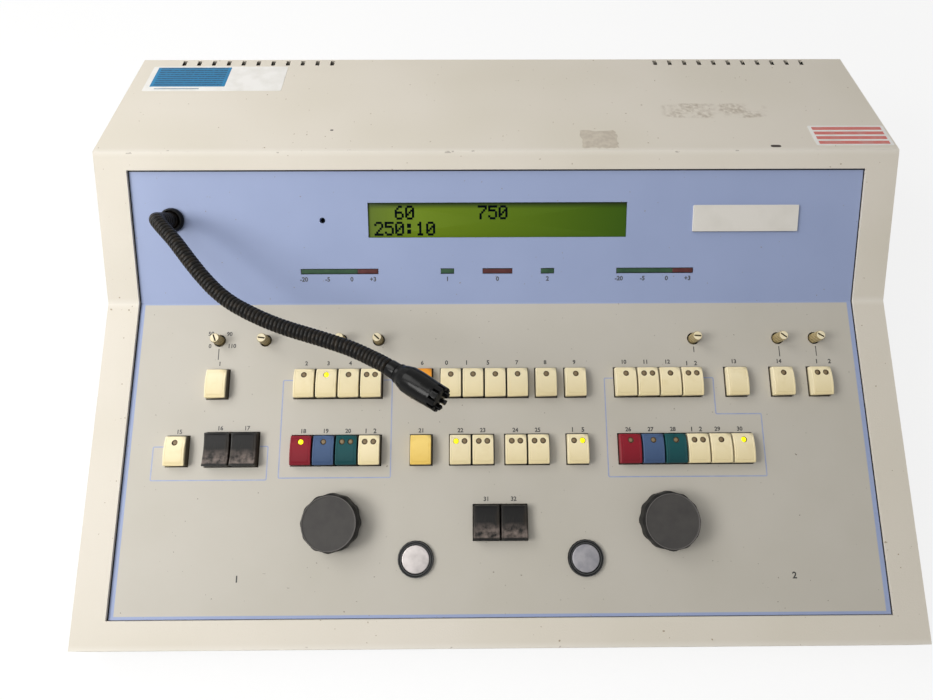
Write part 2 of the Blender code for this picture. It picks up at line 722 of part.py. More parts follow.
def make_dials(rubber, keypad):
    """Two lobed dials, each on the shaft of its encoder."""
    top = DIAL_LIFT + DIAL_HEIGHT
    rings = (
        (0.0, STEM_BOTTOM, 0.0),
        (DIAL_SHAFT_RADIUS, STEM_BOTTOM, 0.0),
        (DIAL_SHAFT_RADIUS, DIAL_LIFT, 0.0),
        (DIAL_RADIUS, DIAL_LIFT, DIAL_LOBE_DEPTH),
        (DIAL_RADIUS, top - DIAL_CHAMFER, DIAL_LOBE_DEPTH),
        (DIAL_TOP_RADIUS, top, 0.0),
        (0.0, top, 0.0),
    )
    sides = DIAL_LOBES * DIAL_SIDES_PER_LOBE

    def lobe(i):
        return (1 - math.cos(2 * math.pi * i / DIAL_SIDES_PER_LOBE)) / 2

    for name, side in (("level_dial_left", -1), ("level_dial_right", 1)):
        new_object(name, turned(rings, sides, lobe), rubber, keypad, (side * DIAL_X, -DIAL_DROP, 0.0), True)


def make_spindles(ivory, keypad):
    """Seven slotted trim spindles."""
    rings = (
        (0.0, STEM_BOTTOM, 0.0),
        (SPINDLE_SHAFT_RADIUS, STEM_BOTTOM, 0.0),
        (SPINDLE_SHAFT_RADIUS, -SPINDLE_COLLAR, 0.0),
        (SPINDLE_RADIUS, -SPINDLE_COLLAR, 0.0),
        (SPINDLE_RADIUS, SPINDLE_HEIGHT, 0.0),
        (0.0, SPINDLE_HEIGHT, 0.0),
    )
    for name, share, turn in SPINDLES:
        place = (share * HALF_WINDOW, -SPINDLE_DROP, 0.0)
        spindle = new_object(name, turned(rings, SMALL_SIDES), ivory, keypad, place, True)
        bm = bmesh.new()
        length = 2 * (SPINDLE_RADIUS + CUT_OVERRUN)
        low = SPINDLE_HEIGHT - SPINDLE_SLOT_DEPTH
        box(bm, 0.0, 0.0, length, SPINDLE_SLOT_WIDTH, low, SPINDLE_HEIGHT + CUT_OVERRUN)
        bmesh.ops.rotate(bm, verts=bm.verts, matrix=Matrix.Rotation(math.radians(turn), 3, "Z"))
        combine(spindle, new_object(name + "_slot", bm, parent=keypad, location=place), "DIFFERENCE")


def make_key_board(resin, keypad):
    """The board with a switch under each key, an encoder under each dial and a trimmer under each spindle."""
    front = TOUCH_DROP + BOARD_FRONT_MARGIN
    top = BOARD_TOP_MARGIN
    bm = bmesh.new()
    box(bm, 0.0, -(front + top) / 2, 2 * BOARD_HALF_WIDTH, front - top, BOARD_BOTTOM, BOARD_TOP)
    board = new_object("key_board", bm, resin, keypad)

    foot = BOARD_TOP - BODY_EMBED
    bodies = bmesh.new()
    bores = bmesh.new()
    seats = bmesh.new()
    for _, x, drop, pitch in key_places():
        box(bodies, x, -drop, pitch - SWITCH_SIDE_GAP, SWITCH_LENGTH, foot, SWITCH_TOP)
        stem_width = pitch - KEY_SIDE_GAP - 2 * STEM_INSET
        stem_length = key_length(pitch) - 2 * STEM_INSET
        pocket = (stem_width + 2 * FIT_GAP, stem_length + 2 * FIT_GAP)
        box(bores, x, -drop, *pocket, POCKET_BOTTOM, SWITCH_TOP + CUT_OVERRUN)
    for side in (-1, 1):
        x = side * TOUCH_X
        plate_seat = TOUCH_HEIGHT - TOUCH_PLATE - TOUCH_TRAVEL - FIT_GAP
        cylinder(bodies, x, -TOUCH_DROP, RING_RADIUS, foot, RING_HEIGHT, FINE_SIDES)
        high = plate_seat + BODY_EMBED
        cylinder(bores, x, -TOUCH_DROP, TOUCH_STEM_RADIUS + FIT_GAP, POCKET_BOTTOM, high, FINE_SIDES)
        high = RING_HEIGHT + CUT_OVERRUN
        cylinder(seats, x, -TOUCH_DROP, TOUCH_RADIUS + FIT_GAP, plate_seat, high, FINE_SIDES)
    for side in (-1, 1):
        x = side * DIAL_X
        box(bodies, x, -DIAL_DROP, ENCODER_SIZE, ENCODER_SIZE, foot, SEAT_HEIGHT)
        high = SEAT_HEIGHT + CUT_OVERRUN
        cylinder(bores, x, -DIAL_DROP, DIAL_SHAFT_RADIUS + FIT_GAP, POCKET_BOTTOM, high, HOLE_SIDES)
        for y in (-top - 2 * POST_RADIUS, -front + 2 * POST_RADIUS):
            cylinder(bodies, side * POST_X, y, POST_RADIUS, foot, SEAT_HEIGHT, SMALL_SIDES)
    for _, share, _ in SPINDLES:
        x = share * HALF_WINDOW
        box(bodies, x, -SPINDLE_DROP, TRIMMER_SIZE, TRIMMER_SIZE, foot, SWITCH_TOP)
        high = SWITCH_TOP + CUT_OVERRUN
        cylinder(bores, x, -SPINDLE_DROP, SPINDLE_SHAFT_RADIUS + FIT_GAP, POCKET_BOTTOM, high, SMALL_SIDES)
    combine(board, new_object("switch_bodies", bodies, parent=keypad), "UNION")
    combine(board, new_object("ring_seats", seats, parent=keypad), "DIFFERENCE")
    combine(board, new_object("switch_bores", bores, parent=keypad), "DIFFERENCE")
    return board


def make_display_board(resin, display):
    """The board behind the display face, with the character display and lamp bars in their windows."""
    board_top = SEAT_HEIGHT - DISPLAY_BOARD_DEPTH
    low_edge = BAR_RISE - BAR_HEIGHT / 2 - DISPLAY_BOARD_MARGIN
    high_edge = LCD_WINDOW_TOP + LCD_BODY_MARGIN + DISPLAY_BOARD_MARGIN / 2
    bm = bmesh.new()
    middle = (low_edge + high_edge) / 2
    width = 2 * DISPLAY_BOARD_HALF_WIDTH
    box(bm, 0.0, middle, width, high_edge - low_edge, board_top - BOARD_THICKNESS, board_top)
    board = new_object("display_board", bm, resin, display)

    foot = board_top - BODY_EMBED
    bm = bmesh.new()
    width = LCD_WINDOW_WIDTH + 2 * LCD_BODY_MARGIN
    height = LCD_WINDOW_HEIGHT + 2 * LCD_BODY_MARGIN
    box(bm, 0.0, LCD_RISE, width, height, foot, SEAT_HEIGHT)
    combine(board, new_object("display_body", bm, parent=display), "UNION")

    bm = bmesh.new()
    width = LCD_WINDOW_WIDTH - 2 * FIT_GAP
    height = LCD_WINDOW_HEIGHT - 2 * FIT_GAP
    box(bm, 0.0, LCD_RISE, width, height, SEAT_HEIGHT - BODY_EMBED, -LCD_RECESS)
    for x, lamp_width in lamp_windows():
        box(bm, x, BAR_RISE, lamp_width - 2 * FIT_GAP, BAR_HEIGHT - 2 * FIT_GAP, foot, -BAR_RECESS)
    combine(board, new_object("display_glass_and_lamps", bm, parent=display), "UNION")
    return board


def make_mic_socket(black, display):
    """The turning socket in the display face, with its nut below the panel and a seat for the arm's ball."""
    tail = SEAT_HEIGHT - SOCKET_NUT_HEIGHT - SOCKET_TAIL
    hollow = BALL_RADIUS + FIT_GAP
    lip = math.acos(BALL_LIP / hollow)
    rings = [
        (0.0, tail, 0.0),
        (SOCKET_BARREL_RADIUS, tail, 0.0),
        (SOCKET_BARREL_RADIUS, SEAT_HEIGHT - SOCKET_NUT_HEIGHT, 0.0),
        (SOCKET_NUT_RADIUS, SEAT_HEIGHT - SOCKET_NUT_HEIGHT, 0.0),
        (SOCKET_NUT_RADIUS, SEAT_HEIGHT, 0.0),
        (SOCKET_BARREL_RADIUS, SEAT_HEIGHT, 0.0),
        (SOCKET_BARREL_RADIUS, FIT_GAP, 0.0),
        (SOCKET_FLANGE_RADIUS, FIT_GAP, 0.0),
        (SOCKET_FLANGE_RADIUS, SOCKET_HEIGHT - SOCKET_CHAMFER, 0.0),
        (SOCKET_FLANGE_RADIUS - SOCKET_CHAMFER, SOCKET_HEIGHT, 0.0),
        (MOUTH_RADIUS, SOCKET_HEIGHT, 0.0),
    ]
    for i in range(BALL_STEPS + 1):
        angle = lip + (math.pi - lip) * i / BALL_STEPS
        radius = hollow * math.sin(angle) if i < BALL_STEPS else 0.0
        rings.append((radius, BALL_CENTRE_HEIGHT + hollow * math.cos(angle), 0.0))
    bm = turned(rings, FINE_SIDES)
    return new_object("mic_socket", bm, black, display, (-MIC_X, MIC_RISE, 0.0), True)


def arm_route():
    """The gooseneck's middle line in the socket's frame, smooth through its route points."""
    knots = [Vector((x * REACH_ACROSS, -y * REACH_DOWN, z * REACH_UP)) for x, y, z in ARM_ROUTE_SHARES]
    padded = [2 * knots[0] - knots[1], *knots, 2 * knots[-1] - knots[-2]]
    fine = []
    for a, b, c, d in zip(padded, padded[1:], padded[2:], padded[3:]):
        for i in range(ROUTE_SAMPLES):
            t = i / ROUTE_SAMPLES
            ahead = (c - a) * t + (2 * a - 5 * b + 4 * c - d) * t**2 + (3 * b - a - 3 * c + d) * t**3
            fine.append(b + ahead / 2)
    return [*fine, knots[-1]]


def place_on_route(route, distance):
    """The point and the direction of the route at a distance from its start."""
    for a, b in zip(route, route[1:]):
        step = (b - a).length
        if distance <= step:
            return a + (b - a) * (distance / step), (b - a).normalized()
        distance -= step
    way = (route[-1] - route[-2]).normalized()
    return route[-1] + way * distance, way


def route_length(route):
    return sum((b - a).length for a, b in zip(route, route[1:]))


def arm_stations(length):
    """Distances along the arm with the radius at each: ball, plain neck, ribs, plain end."""
    neck_angle = math.asin(ARM_RADIUS / BALL_RADIUS)
    stations = [(BALL_CENTRE_HEIGHT - BALL_RADIUS, 0.0)]
    for i in range(1, BALL_STEPS + 1):
        angle = math.pi - (math.pi - neck_angle) * i / BALL_STEPS
        stations.append((BALL_CENTRE_HEIGHT + BALL_RADIUS * math.cos(angle), BALL_RADIUS * math.sin(angle)))
    start = SOCKET_HEIGHT + ARM_PLAIN_END
    end = length - ARM_PLAIN_END
    stations.append((start, ARM_RADIUS))
    ribs = int((end - start) / ARM_RIB_PITCH)
    for i in range(ribs):
        stations.append((start + (end - start) * (i + 1 / 2) / ribs, ARM_RADIUS - ARM_GROOVE))
        stations.append((start + (end - start) * (i + 1) / ribs, ARM_RADIUS))
    stations.append((length - FIT_GAP, ARM_RADIUS))
    stations.append((length - FIT_GAP, 0.0))
    return stations


def make_gooseneck(black, display):
    """The ribbed flexible arm, with the ball at its foot."""
    route = arm_route()
    bm = bmesh.new()
    loops = []
    way = Vector((0.0, 0.0, 1.0))
    across = Vector((1.0, 0.0, 0.0))
    for distance, radius in arm_stations(route_length(route) - HEAD_LENGTH):
        if distance <= 0.0:
            point, ahead = Vector((0.0, 0.0, distance)), way
        else:
            point, ahead = place_on_route(route, distance)
        across = (way.rotation_difference(ahead) @ across).normalized()
        way = ahead
        if radius == 0.0:
            loops.append([bm.verts.new(point)])
            continue
        up = way.cross(across)
        angles = [2 * math.pi * i / ARM_SIDES for i in range(ARM_SIDES)]
        spokes = [math.cos(a) * across + math.sin(a) * up for a in angles]
        loops.append([bm.verts.new(point + radius * spoke) for spoke in spokes])
    skin(bm, loops, ARM_SIDES)
    return new_object("gooseneck", bm, black, display, (-MIC_X, MIC_RISE, 0.0), True)


def make_mic_head(black, display):
    """The microphone head: ferrule, collar, swelling body and slotted crown with a sunk grille."""
    route = arm_route()
    point, _ = place_on_route(route, route_length(route) - HEAD_LENGTH)
    way = (route[-1] - point).normalized()
    neck = FERRULE_LENGTH + GROOVE_LENGTH
    shoulder = neck + COLLAR_LENGTH
    crown = HEAD_LENGTH - CROWN_LENGTH
    rim = CROWN_RADIUS - 2 * CROWN_SLOT_DEPTH
    rings = (
        (0.0, 0.0, 0.0),
        (FERRULE_RADIUS, 0.0, 0.0),
        (FERRULE_RADIUS, FERRULE_LENGTH, 0.0),
        (GROOVE_RADIUS, FERRULE_LENGTH, 0.0),
        (GROOVE_RADIUS, neck, 0.0),
        (COLLAR_RADIUS, neck, 0.0),
        (COLLAR_RADIUS, shoulder, 0.0),
        (HEAD_RADIUS, shoulder + FLARE_LENGTH, 0.0),
        (CROWN_RADIUS, crown, 0.0),
        (CROWN_RADIUS, crown, CROWN_SLOT_DEPTH),
        (CROWN_RADIUS, HEAD_LENGTH, CROWN_SLOT_DEPTH),
        (rim, HEAD_LENGTH, 0.0),
        (rim, HEAD_LENGTH - CROWN_RECESS, 0.0),
        (0.0, HEAD_LENGTH - CROWN_RECESS, 0.0),
    )

    def slot(i):
        return 1.0 if i % CROWN_SIDES_PER_SLOT < CROWN_SIDES_PER_SLOT / 2 else 0.0

    bm = turned(rings, CROWN_SLOTS * CROWN_SIDES_PER_SLOT, slot)
    turn = Vector((0.0, 0.0, 1.0)).rotation_difference(way).to_matrix().to_4x4()
    bmesh.ops.transform(bm, matrix=Matrix.Translation(point) @ turn, verts=bm.verts)
    bmesh.ops.remove_doubles(bm, verts=bm.verts, dist=POINT_MERGE)
    return new_object("microphone_head", bm, black, display, (-MIC_X, MIC_RISE, 0.0), True)


def connector_places():
    """The places of the sockets across the rear wall."""
    return [JACK_BANK_X + (i - (JACK_COUNT - 1) / 2) * JACK_PITCH for i in range(JACK_COUNT)]


def main_board_top():
    return FOOT_HEIGHT + TRAY_WALL + STANDOFF_HEIGHT + FIT_GAP + BOARD_THICKNESS


def rear_wall_face():
    return REAR_Y - COVER_WALL - FIT_GAP


def across_wall(outline_bm):
    """Turns a shape made along +Z so that it runs out through the rear wall along +Y."""
    turn = Matrix.Rotation(-math.pi / 2, 4, "X")
    bmesh.ops.transform(outline_bm, matrix=turn, verts=outline_bm.verts)
    return outline_bm


def standoffs():
    """The four corners where the mains and socket board rests."""
    rear = rear_wall_face() - TRAY_WALL - MAIN_BOARD_SETBACK - STANDOFF_INSET
    front = rear - MAIN_BOARD_LENGTH + 2 * STANDOFF_INSET
    x = MAIN_BOARD_HALF_WIDTH - STANDOFF_INSET
    return [(side * x, y) for side in (-1, 1) for y in (rear, front)]


def make_tray(paint):
    """The steel tray with its turned-up front, its rear connector wall, its standoffs and its four feet."""
    floor_top = FOOT_HEIGHT + TRAY_WALL
    front = FRONT_Y + COVER_WALL + FIT_GAP
    rear = rear_wall_face()
    lip_top = FOOT_HEIGHT + TRAY_LIP
    wall_top = FOOT_HEIGHT + REAR_WALL_HEIGHT
    outline = [
        (front, FOOT_HEIGHT),
        (front, lip_top),
        (front + TRAY_WALL, lip_top),
        (front + TRAY_WALL, floor_top),
        (rear - TRAY_WALL, floor_top),
        (rear - TRAY_WALL, wall_top),
        (rear, wall_top),
        (rear, FOOT_HEIGHT),
    ]
    tray = new_object("base_tray", prism(outline, CASE_WIDTH / 2 - COVER_WALL - FIT_GAP), paint)

    bm = bmesh.new()
    for side in (-1, 1):
        for y in (front + FOOT_INSET, rear - FOOT_INSET):
            x = side * (CASE_WIDTH / 2 - FOOT_INSET)
            cylinder(bm, x, y, FOOT_RADIUS, 0.0, FOOT_HEIGHT + TRAY_WALL / 2, FINE_SIDES)
    low = floor_top - TRAY_WALL / 2
    for x, y in standoffs():
        cylinder(bm, x, y, STANDOFF_RADIUS, low, floor_top + STANDOFF_HEIGHT, SMALL_SIDES)
    combine(tray, new_object("feet_and_standoffs", bm), "UNION")

    bm = bmesh.new()
    jack_z = main_board_top() + JACK_BODY_HEIGHT / 2
    bush_hole = JACK_BUSH_RADIUS + FIT_GAP
    for x in connector_places():
        cylinder(bm, x, -jack_z, bush_hole, rear - CUT_OVERRUN, rear + CUT_OVERRUN, FINE_SIDES)
    across_wall(bm)
    width = INLET_WIDTH + 2 * FIT_GAP
    low = main_board_top() - BODY_EMBED - FIT_GAP
    high = main_board_top() + INLET_HEIGHT + FIT_GAP
    box(bm, -INLET_X, rear, width, 2 * CUT_OVERRUN, low, high)
    combine(tray, new_object("connector_cutter", bm), "DIFFERENCE")
    return tray


def make_main_board(resin):
    """The board with the mains inlet, the row of sockets, the transformer and the smoothing capacitors."""
    board_top = main_board_top()
    wall_inside = rear_wall_face() - TRAY_WALL
    rear = wall_inside - MAIN_BOARD_SETBACK
    bm = bmesh.new()
    middle = rear - MAIN_BOARD_LENGTH / 2
    width = 2 * MAIN_BOARD_HALF_WIDTH
    box(bm, 0.0, middle, width, MAIN_BOARD_LENGTH, board_top - BOARD_THICKNESS, board_top)
    board = new_object("main_board", bm, resin)

    foot = board_top - BODY_EMBED
    bm = bmesh.new()
    body_rear = wall_inside - FIT_GAP
    for x in connector_places():
        y = body_rear - JACK_BODY_DEPTH / 2
        box(bm, x, y, JACK_BODY_WIDTH, JACK_BODY_DEPTH, foot, board_top + JACK_BODY_HEIGHT)
    inlet_rear = rear_wall_face() + INLET_PROUD
    inlet_y = inlet_rear - INLET_DEPTH / 2
    box(bm, -INLET_X, inlet_y, INLET_WIDTH, INLET_DEPTH, foot, board_top + INLET_HEIGHT)
    x, y = TRANSFORMER_X, rear - TRANSFORMER_SETBACK
    box(bm, -x, y, TRANSFORMER_WIDTH, TRANSFORMER_LENGTH, foot, board_top + TRANSFORMER_HEIGHT)
    capacitor_top = board_top + CAPACITOR_HEIGHT
    for i in range(CAPACITOR_COUNT):
        x = -CAPACITOR_X + i * CAPACITOR_PITCH
        cylinder(bm, x, rear - CAPACITOR_SETBACK, CAPACITOR_RADIUS, foot, capacitor_top, SMALL_SIDES)
    combine(board, new_object("board_components", bm), "UNION")

    jack_z = board_top + JACK_BODY_HEIGHT / 2
    bushes = bmesh.new()
    bores = bmesh.new()
    bush_end = rear_wall_face() + JACK_PROUD
    for x in connector_places():
        cylinder(bushes, x, -jack_z, JACK_BUSH_RADIUS, body_rear - BODY_EMBED, bush_end, FINE_SIDES)
        start = bush_end - JACK_BORE_DEPTH
        cylinder(bores, x, -jack_z, JACK_BORE_RADIUS, start, bush_end + CUT_OVERRUN, SMALL_SIDES)
    combine(board, new_object("socket_bushes", across_wall(bushes)), "UNION")
    across_wall(bores)
    floor = board_top + INLET_WALL
    ceiling = board_top + INLET_HEIGHT - INLET_WALL
    back = inlet_rear - INLET_CAVITY_DEPTH
    length = INLET_CAVITY_DEPTH + CUT_OVERRUN
    box(bores, -INLET_X, back + length / 2, INLET_WIDTH - 2 * INLET_WALL, length, floor, ceiling)
    combine(board, new_object("socket_bores", bores), "DIFFERENCE")
    return board


def main():
    clear_scene()
    keypad = face_frame("keypad_face", KEYPAD_SLOPE)
    display = face_frame("display_face", DISPLAY_SLOPE)
    paint = finish("textured_beige_paint", (0.66, 0.58, 0.46), 0.55)
    panel_print = finish("printed_panel", (0.38, 0.42, 0.55), 0.5)
    resin = finish("dark_board", (0.025, 0.030, 0.030), 0.6)
    black = finish("black_rubber", (0.020, 0.020, 0.020), 0.45)
    rubber = finish("grey_dial_plastic", (0.045, 0.044, 0.044), 0.6)
    ivory = finish("ivory_nylon", (0.78, 0.66, 0.42), 0.4)
    metal = finish("satin_nickel", (0.62, 0.60, 0.60), 0.3, 1.0)
    caps = {name: finish(name + "_cap", colour, 0.35) for name, colour in CAP_FINISHES.items()}

    make_cover(paint)
    make_panel(panel_print, keypad, display)
    make_keys(caps, keypad)
    make_touch_buttons(metal, keypad)
    make_dials(rubber, keypad)
    make_spindles(ivory, keypad)
    make_key_board(resin, keypad)
    make_display_board(resin, display)
    make_mic_socket(black, display)
    make_gooseneck(black, display)
    make_mic_head(black, display)
    make_tray(paint)
    make_main_board(resin)


main()
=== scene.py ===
import json
import math

import bmesh
import bpy
import numpy as np
from mathutils import Matrix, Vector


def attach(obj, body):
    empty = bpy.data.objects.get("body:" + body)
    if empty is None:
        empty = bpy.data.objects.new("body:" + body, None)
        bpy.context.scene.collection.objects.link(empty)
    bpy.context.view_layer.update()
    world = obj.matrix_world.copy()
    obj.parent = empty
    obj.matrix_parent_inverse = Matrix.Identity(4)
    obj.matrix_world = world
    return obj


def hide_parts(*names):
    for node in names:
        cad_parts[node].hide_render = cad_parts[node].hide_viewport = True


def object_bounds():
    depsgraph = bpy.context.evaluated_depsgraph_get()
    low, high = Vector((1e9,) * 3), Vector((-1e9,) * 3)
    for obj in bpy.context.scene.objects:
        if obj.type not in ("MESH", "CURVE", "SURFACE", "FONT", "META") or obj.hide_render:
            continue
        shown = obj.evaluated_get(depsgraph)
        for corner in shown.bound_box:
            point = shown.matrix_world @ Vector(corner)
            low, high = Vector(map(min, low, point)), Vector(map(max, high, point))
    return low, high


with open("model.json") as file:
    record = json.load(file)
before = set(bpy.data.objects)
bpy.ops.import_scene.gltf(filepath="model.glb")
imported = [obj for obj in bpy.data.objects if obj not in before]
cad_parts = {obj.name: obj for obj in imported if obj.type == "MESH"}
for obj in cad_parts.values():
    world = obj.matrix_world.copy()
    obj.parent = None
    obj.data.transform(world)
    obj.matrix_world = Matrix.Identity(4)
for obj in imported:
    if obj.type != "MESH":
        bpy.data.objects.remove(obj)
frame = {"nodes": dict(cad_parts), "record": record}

cad_box = [list(corner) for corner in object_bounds()]
nodes = frame["nodes"]

# Cover
# A box folded from 1.5 mm sheet steel, with a window and rear vent slots, baked in a grey-beige
# texture paint that is chipped along the folds. Two vinyl labels, the torn paper of a third and
# stains of old glue lie on its deck.
MM = 0.001
CASE_HALF, REAR_Y = cad_box[1][0] / MM, cad_box[1][1] / MM
CREST_Y, CREST_Z, DECK_SLOPE = 79.554, 121.051, -11.0
RIDGES = ((CREST_Y, CREST_Z), (9.574, 70.207), (-REAR_Y, 24.0))
PAINT, PAINT_DARK, PAINT_WORN_HIGHLIGHT, PRIMER, SPECK = "#DDD6CA", "#D8D1C3", "#E8E3DA", "#6B5747", "#A79883"
OLD_GLUE, BARE_CHIP, INSIDE_SHADE = "#94826D", "#3A332E", "#0C0B0A"
TEXTURE_GRAIN, CHIP_WIDE, SPECK_WIDE, SOIL_WIDE = 0.9, 3.2, 2.2, 70


def linear(code):
    """Linear RGBA from sRGB hex: a channel c is c / 12.92 up to 0.04045, else ((c + 0.055) / 1.055)^2.4."""
    c = np.array([int(code[i : i + 2], 16) for i in (1, 3, 5)]) / 255
    return (*np.where(c <= 0.04045, c / 12.92, ((c + 0.055) / 1.055) ** 2.4).tolist(), 1.0)


def put(tree, socket, value):
    """Links a socket to another one, or sets its plain value; a text is a hex colour."""
    if isinstance(value, bpy.types.NodeSocket):
        tree.links.new(value, socket)
    else:
        socket.default_value = linear(value) if isinstance(value, str) else value


def add(material, kind, inputs=None, out=0, **settings):
    """Adds one shader node with its settings, puts its inputs, and gives one of its outputs."""
    tree = material.node_tree
    made = tree.nodes.new("ShaderNode" + kind)
    for name, value in settings.items():
        setattr(made, name, value)
    for name, value in (inputs or {}).items():
        put(tree, made.inputs[name], value)
    return made.outputs[out]


def wire(material, **values):
    """Puts values or links on the sockets of a material's own Principled shader."""
    tree = material.node_tree
    for name, value in values.items():
        put(tree, tree.nodes["Principled BSDF"].inputs[name.replace("_", " ")], value)


def finish(name, roughness, specular=0.5, metallic=0.0):
    """A material whose Principled shader has its uniform values set on its own sockets."""
    material = bpy.data.materials.new(name)
    material.use_nodes = True
    wire(material, Roughness=roughness, Specular_IOR_Level=specular, Metallic=metallic)
    return material


def mottle(material, grain, low, high, detail=3.0, stretch=(1.0, 1.0, 1.0), where=None):
    """A mask from 0 to 1 of noise whose features are `grain` mm wide, between two levels of the noise."""
    where = where or add(material, "TexCoord", out=3)
    spot = add(material, "Mapping", {0: where, 3: stretch})
    noise = add(material, "TexNoise", {"Vector": spot, "Scale": 1 / (grain * MM), "Detail": detail})
    return add(material, "MapRange", {0: noise, 1: low, 2: high})


def coats(material, colour, *layers):
    """A colour under layers of (mask, colour), each laid over what is there where its mask is 1."""
    for mask, over in layers:
        colour = add(material, "Mix", {0: mask, 6: colour, 7: over}, 2, data_type="RGBA")
    return colour


def grained(material, colour, height, depth, strength):
    """Lays a colour on a material, whose surface stands `depth` mm higher where a height mask is 1."""
    relief = add(material, "Bump", {"Strength": strength, "Distance": depth * MM, "Height": height})
    wire(material, Base_Color=colour, Normal=relief)


def soiled(name, colour, dirt, grain, low, high, *values, detail=3.0):
    """A finish of one colour with soft patches of another, `grain` mm wide, set by mottle's two levels."""
    material = finish(name, *values)
    wire(material, Base_Color=coats(material, colour, (mottle(material, grain, low, high, detail), dirt)))
    return material


def face(slope, y, z):
    """The 4x4 place of a face through (0, y, z) mm: x across, y up a slope in degrees, z out of it."""
    c, s = math.cos(math.radians(slope)), math.sin(math.radians(slope))
    return np.array(((1, 0, 0, 0), (0, c, -s, y * MM), (0, s, c, z * MM), (0, 0, 0, 1.0)))


def at(place, x, y, z=0.0, turn=0.0):
    """A place moved by (x, y, z) mm on its face and turned about its normal by an angle in degrees."""
    c, s = math.cos(math.radians(turn)), math.sin(math.radians(turn))
    return place @ np.array(((c, -s, 0, x * MM), (s, c, 0, y * MM), (0, 0, 1, z * MM), (0, 0, 0, 1.0)))


def dress(name, material):
    """Gives a CAD node one finish in place of its own."""
    nodes[name].data.materials.clear()
    nodes[name].data.materials.append(material)


def past(material, place, axis, edge, reach, share=1.0):
    """A mask from 0 at `edge` mm along an axis of a face to `share` at `reach` mm further."""
    way, where = place[:3, axis], add(material, "TexCoord", out=3)
    start = float(way @ place[:3, 3])
    level = add(material, "VectorMath", {0: where, 1: way.tolist()}, 1, operation="DOT_PRODUCT")
    return add(material, "MapRange", {0: level, 1: start + edge * MM, 2: start + (edge + reach) * MM, 4: share})


case = np.eye(4)
deck = face(DECK_SLOPE, CREST_Y, CREST_Z)
# The inside of the deck, painted near-black as painted shade, lies within its sheet, the crest, the rear wall
# and the cheeks
INSIDE = (
    (deck, 2, -0.2, -0.1),
    (case, 1, CREST_Y + 4.0, 0.1),
    (case, 1, REAR_Y - 2.0, -0.1),
    (case, 0, CASE_HALF - 2.0, -0.1),
    (case, 0, 2.0 - CASE_HALF, 0.1),
)
# Marks on the deck: x, y and half sizes in mm, and whether it is old glue or a bare chip
MARKS = ((132.5, 39.0, 32.0, 7.5, True), (160.1, 3.7, 2.9, 1.1, False), (-97.0, 20.0, 0.9, 0.6, False))

# Baked texture paint over steel: matt and slightly pebbled, so it shows no clear reflections. It is
# chipped to the primer near its ridges, and painted paler along them as worn paint and painted highlight
paint = finish("baked_texture_paint", 0.62, 0.3)
soil, specks = mottle(paint, SOIL_WIDE, 0.35, 0.70, 1.0), mottle(paint, SPECK_WIDE, 0.775, 0.795, 1.0)
colour = coats(paint, PAINT, (soil, PAINT_DARK), (specks, SPECK))
where = add(paint, "TexCoord", out=3)
section = add(paint, "VectorMath", {0: where, 1: (0.0, 1.0, 1.0)}, operation="MULTIPLY")
chips = mottle(paint, CHIP_WIDE, 0.69, 0.71, 2.0, (0.55, 1.0, 1.0))
# Along each ridge: chips to the primer, and a paler band of worn paint and painted highlight
for y, z in RIDGES:
    away = add(paint, "VectorMath", {0: section, 1: (0.0, y * MM, z * MM)}, 1, operation="DISTANCE")
    near = add(paint, "MapRange", {0: away, 1: 1.5 * MM, 2: 0.8 * MM})
    chipped = add(paint, "Math", {0: near, 1: chips}, operation="MULTIPLY")
    worn_and_highlit = add(paint, "MapRange", {0: away, 1: 3.0 * MM, 2: 0.5 * MM, 4: 0.5})
    colour = coats(paint, colour, (chipped, PRIMER), (worn_and_highlit, PAINT_WORN_HIGHLIGHT))
# A mark covers a point where sqrt(x^4 + y^4 + z^4), in its half sizes, is under 1
for x, y, half_x, half_y, glue in MARKS:
    spot, size = at(deck, x, y)[:3, 3], np.array((half_x, half_y, half_y)) * MM
    away = add(paint, "Mapping", {0: where, 1: (-spot / size).tolist(), 3: (1 / size).tolist()})
    away = add(paint, "VectorMath", {0: away, 1: away}, operation="MULTIPLY")
    away = add(paint, "VectorMath", {0: away}, 1, operation="LENGTH")
    inside = add(paint, "MapRange", {0: away, 1: 1.15, 2: 0.9})
    for grain, low, high, detail in ((2.4, 0.36, 0.68, 5.0), (16, 0.40, 0.56, 4.0)) if glue else ():
        left = mottle(paint, grain, low, high, detail)
        inside = add(paint, "Math", {0: inside, 1: left}, operation="MULTIPLY")
    inside = add(paint, "MapRange", {0: inside, 4: 0.6 if glue else 1.0})
    colour = coats(paint, colour, (inside, OLD_GLUE if glue else BARE_CHIP))
# Painted shade: the deck's inside, seen through the vent slots, is near-black
inside_shade = 1.0
for wall in INSIDE:
    inside_shade = add(paint, "Math", {0: inside_shade, 1: past(paint, *wall)}, operation="MULTIPLY")
pebbles = mottle(paint, TEXTURE_GRAIN, 0.3, 0.7, 2.0)
grained(paint, coats(paint, colour, (inside_shade, INSIDE_SHADE)), pebbles, 0.05, 0.6)
dress("top_cover", paint)


def outline(half_x, half_y, corner, bends=4, across=1, along=1):
    """A rounded rectangle run anticlockwise: four quarter circles, with the straight sides cut into lengths."""
    middles = np.array(((1, -1), (1, 1), (-1, 1), (-1, -1))) * (half_x - corner, half_y - corner)
    turns = np.radians(np.arange(-90, 180, 90)[:, None] + np.linspace(0, 90, bends + 1))
    turns = np.concatenate((turns, turns[:1] + np.radians(270)))
    arcs = middles[:, None] + corner * np.stack((np.cos(turns), np.sin(turns)), -1)
    ends = np.roll(arcs[:, :1], -1, 0)
    cuts = (along, across, along, across)
    shares = [np.linspace(0, 1, n + 1)[1:-1, None] for n in cuts]
    return np.concatenate([p for a, e, t in zip(arcs, ends, shares) for p in (a, a[-1] * (1 - t) + e * t)])


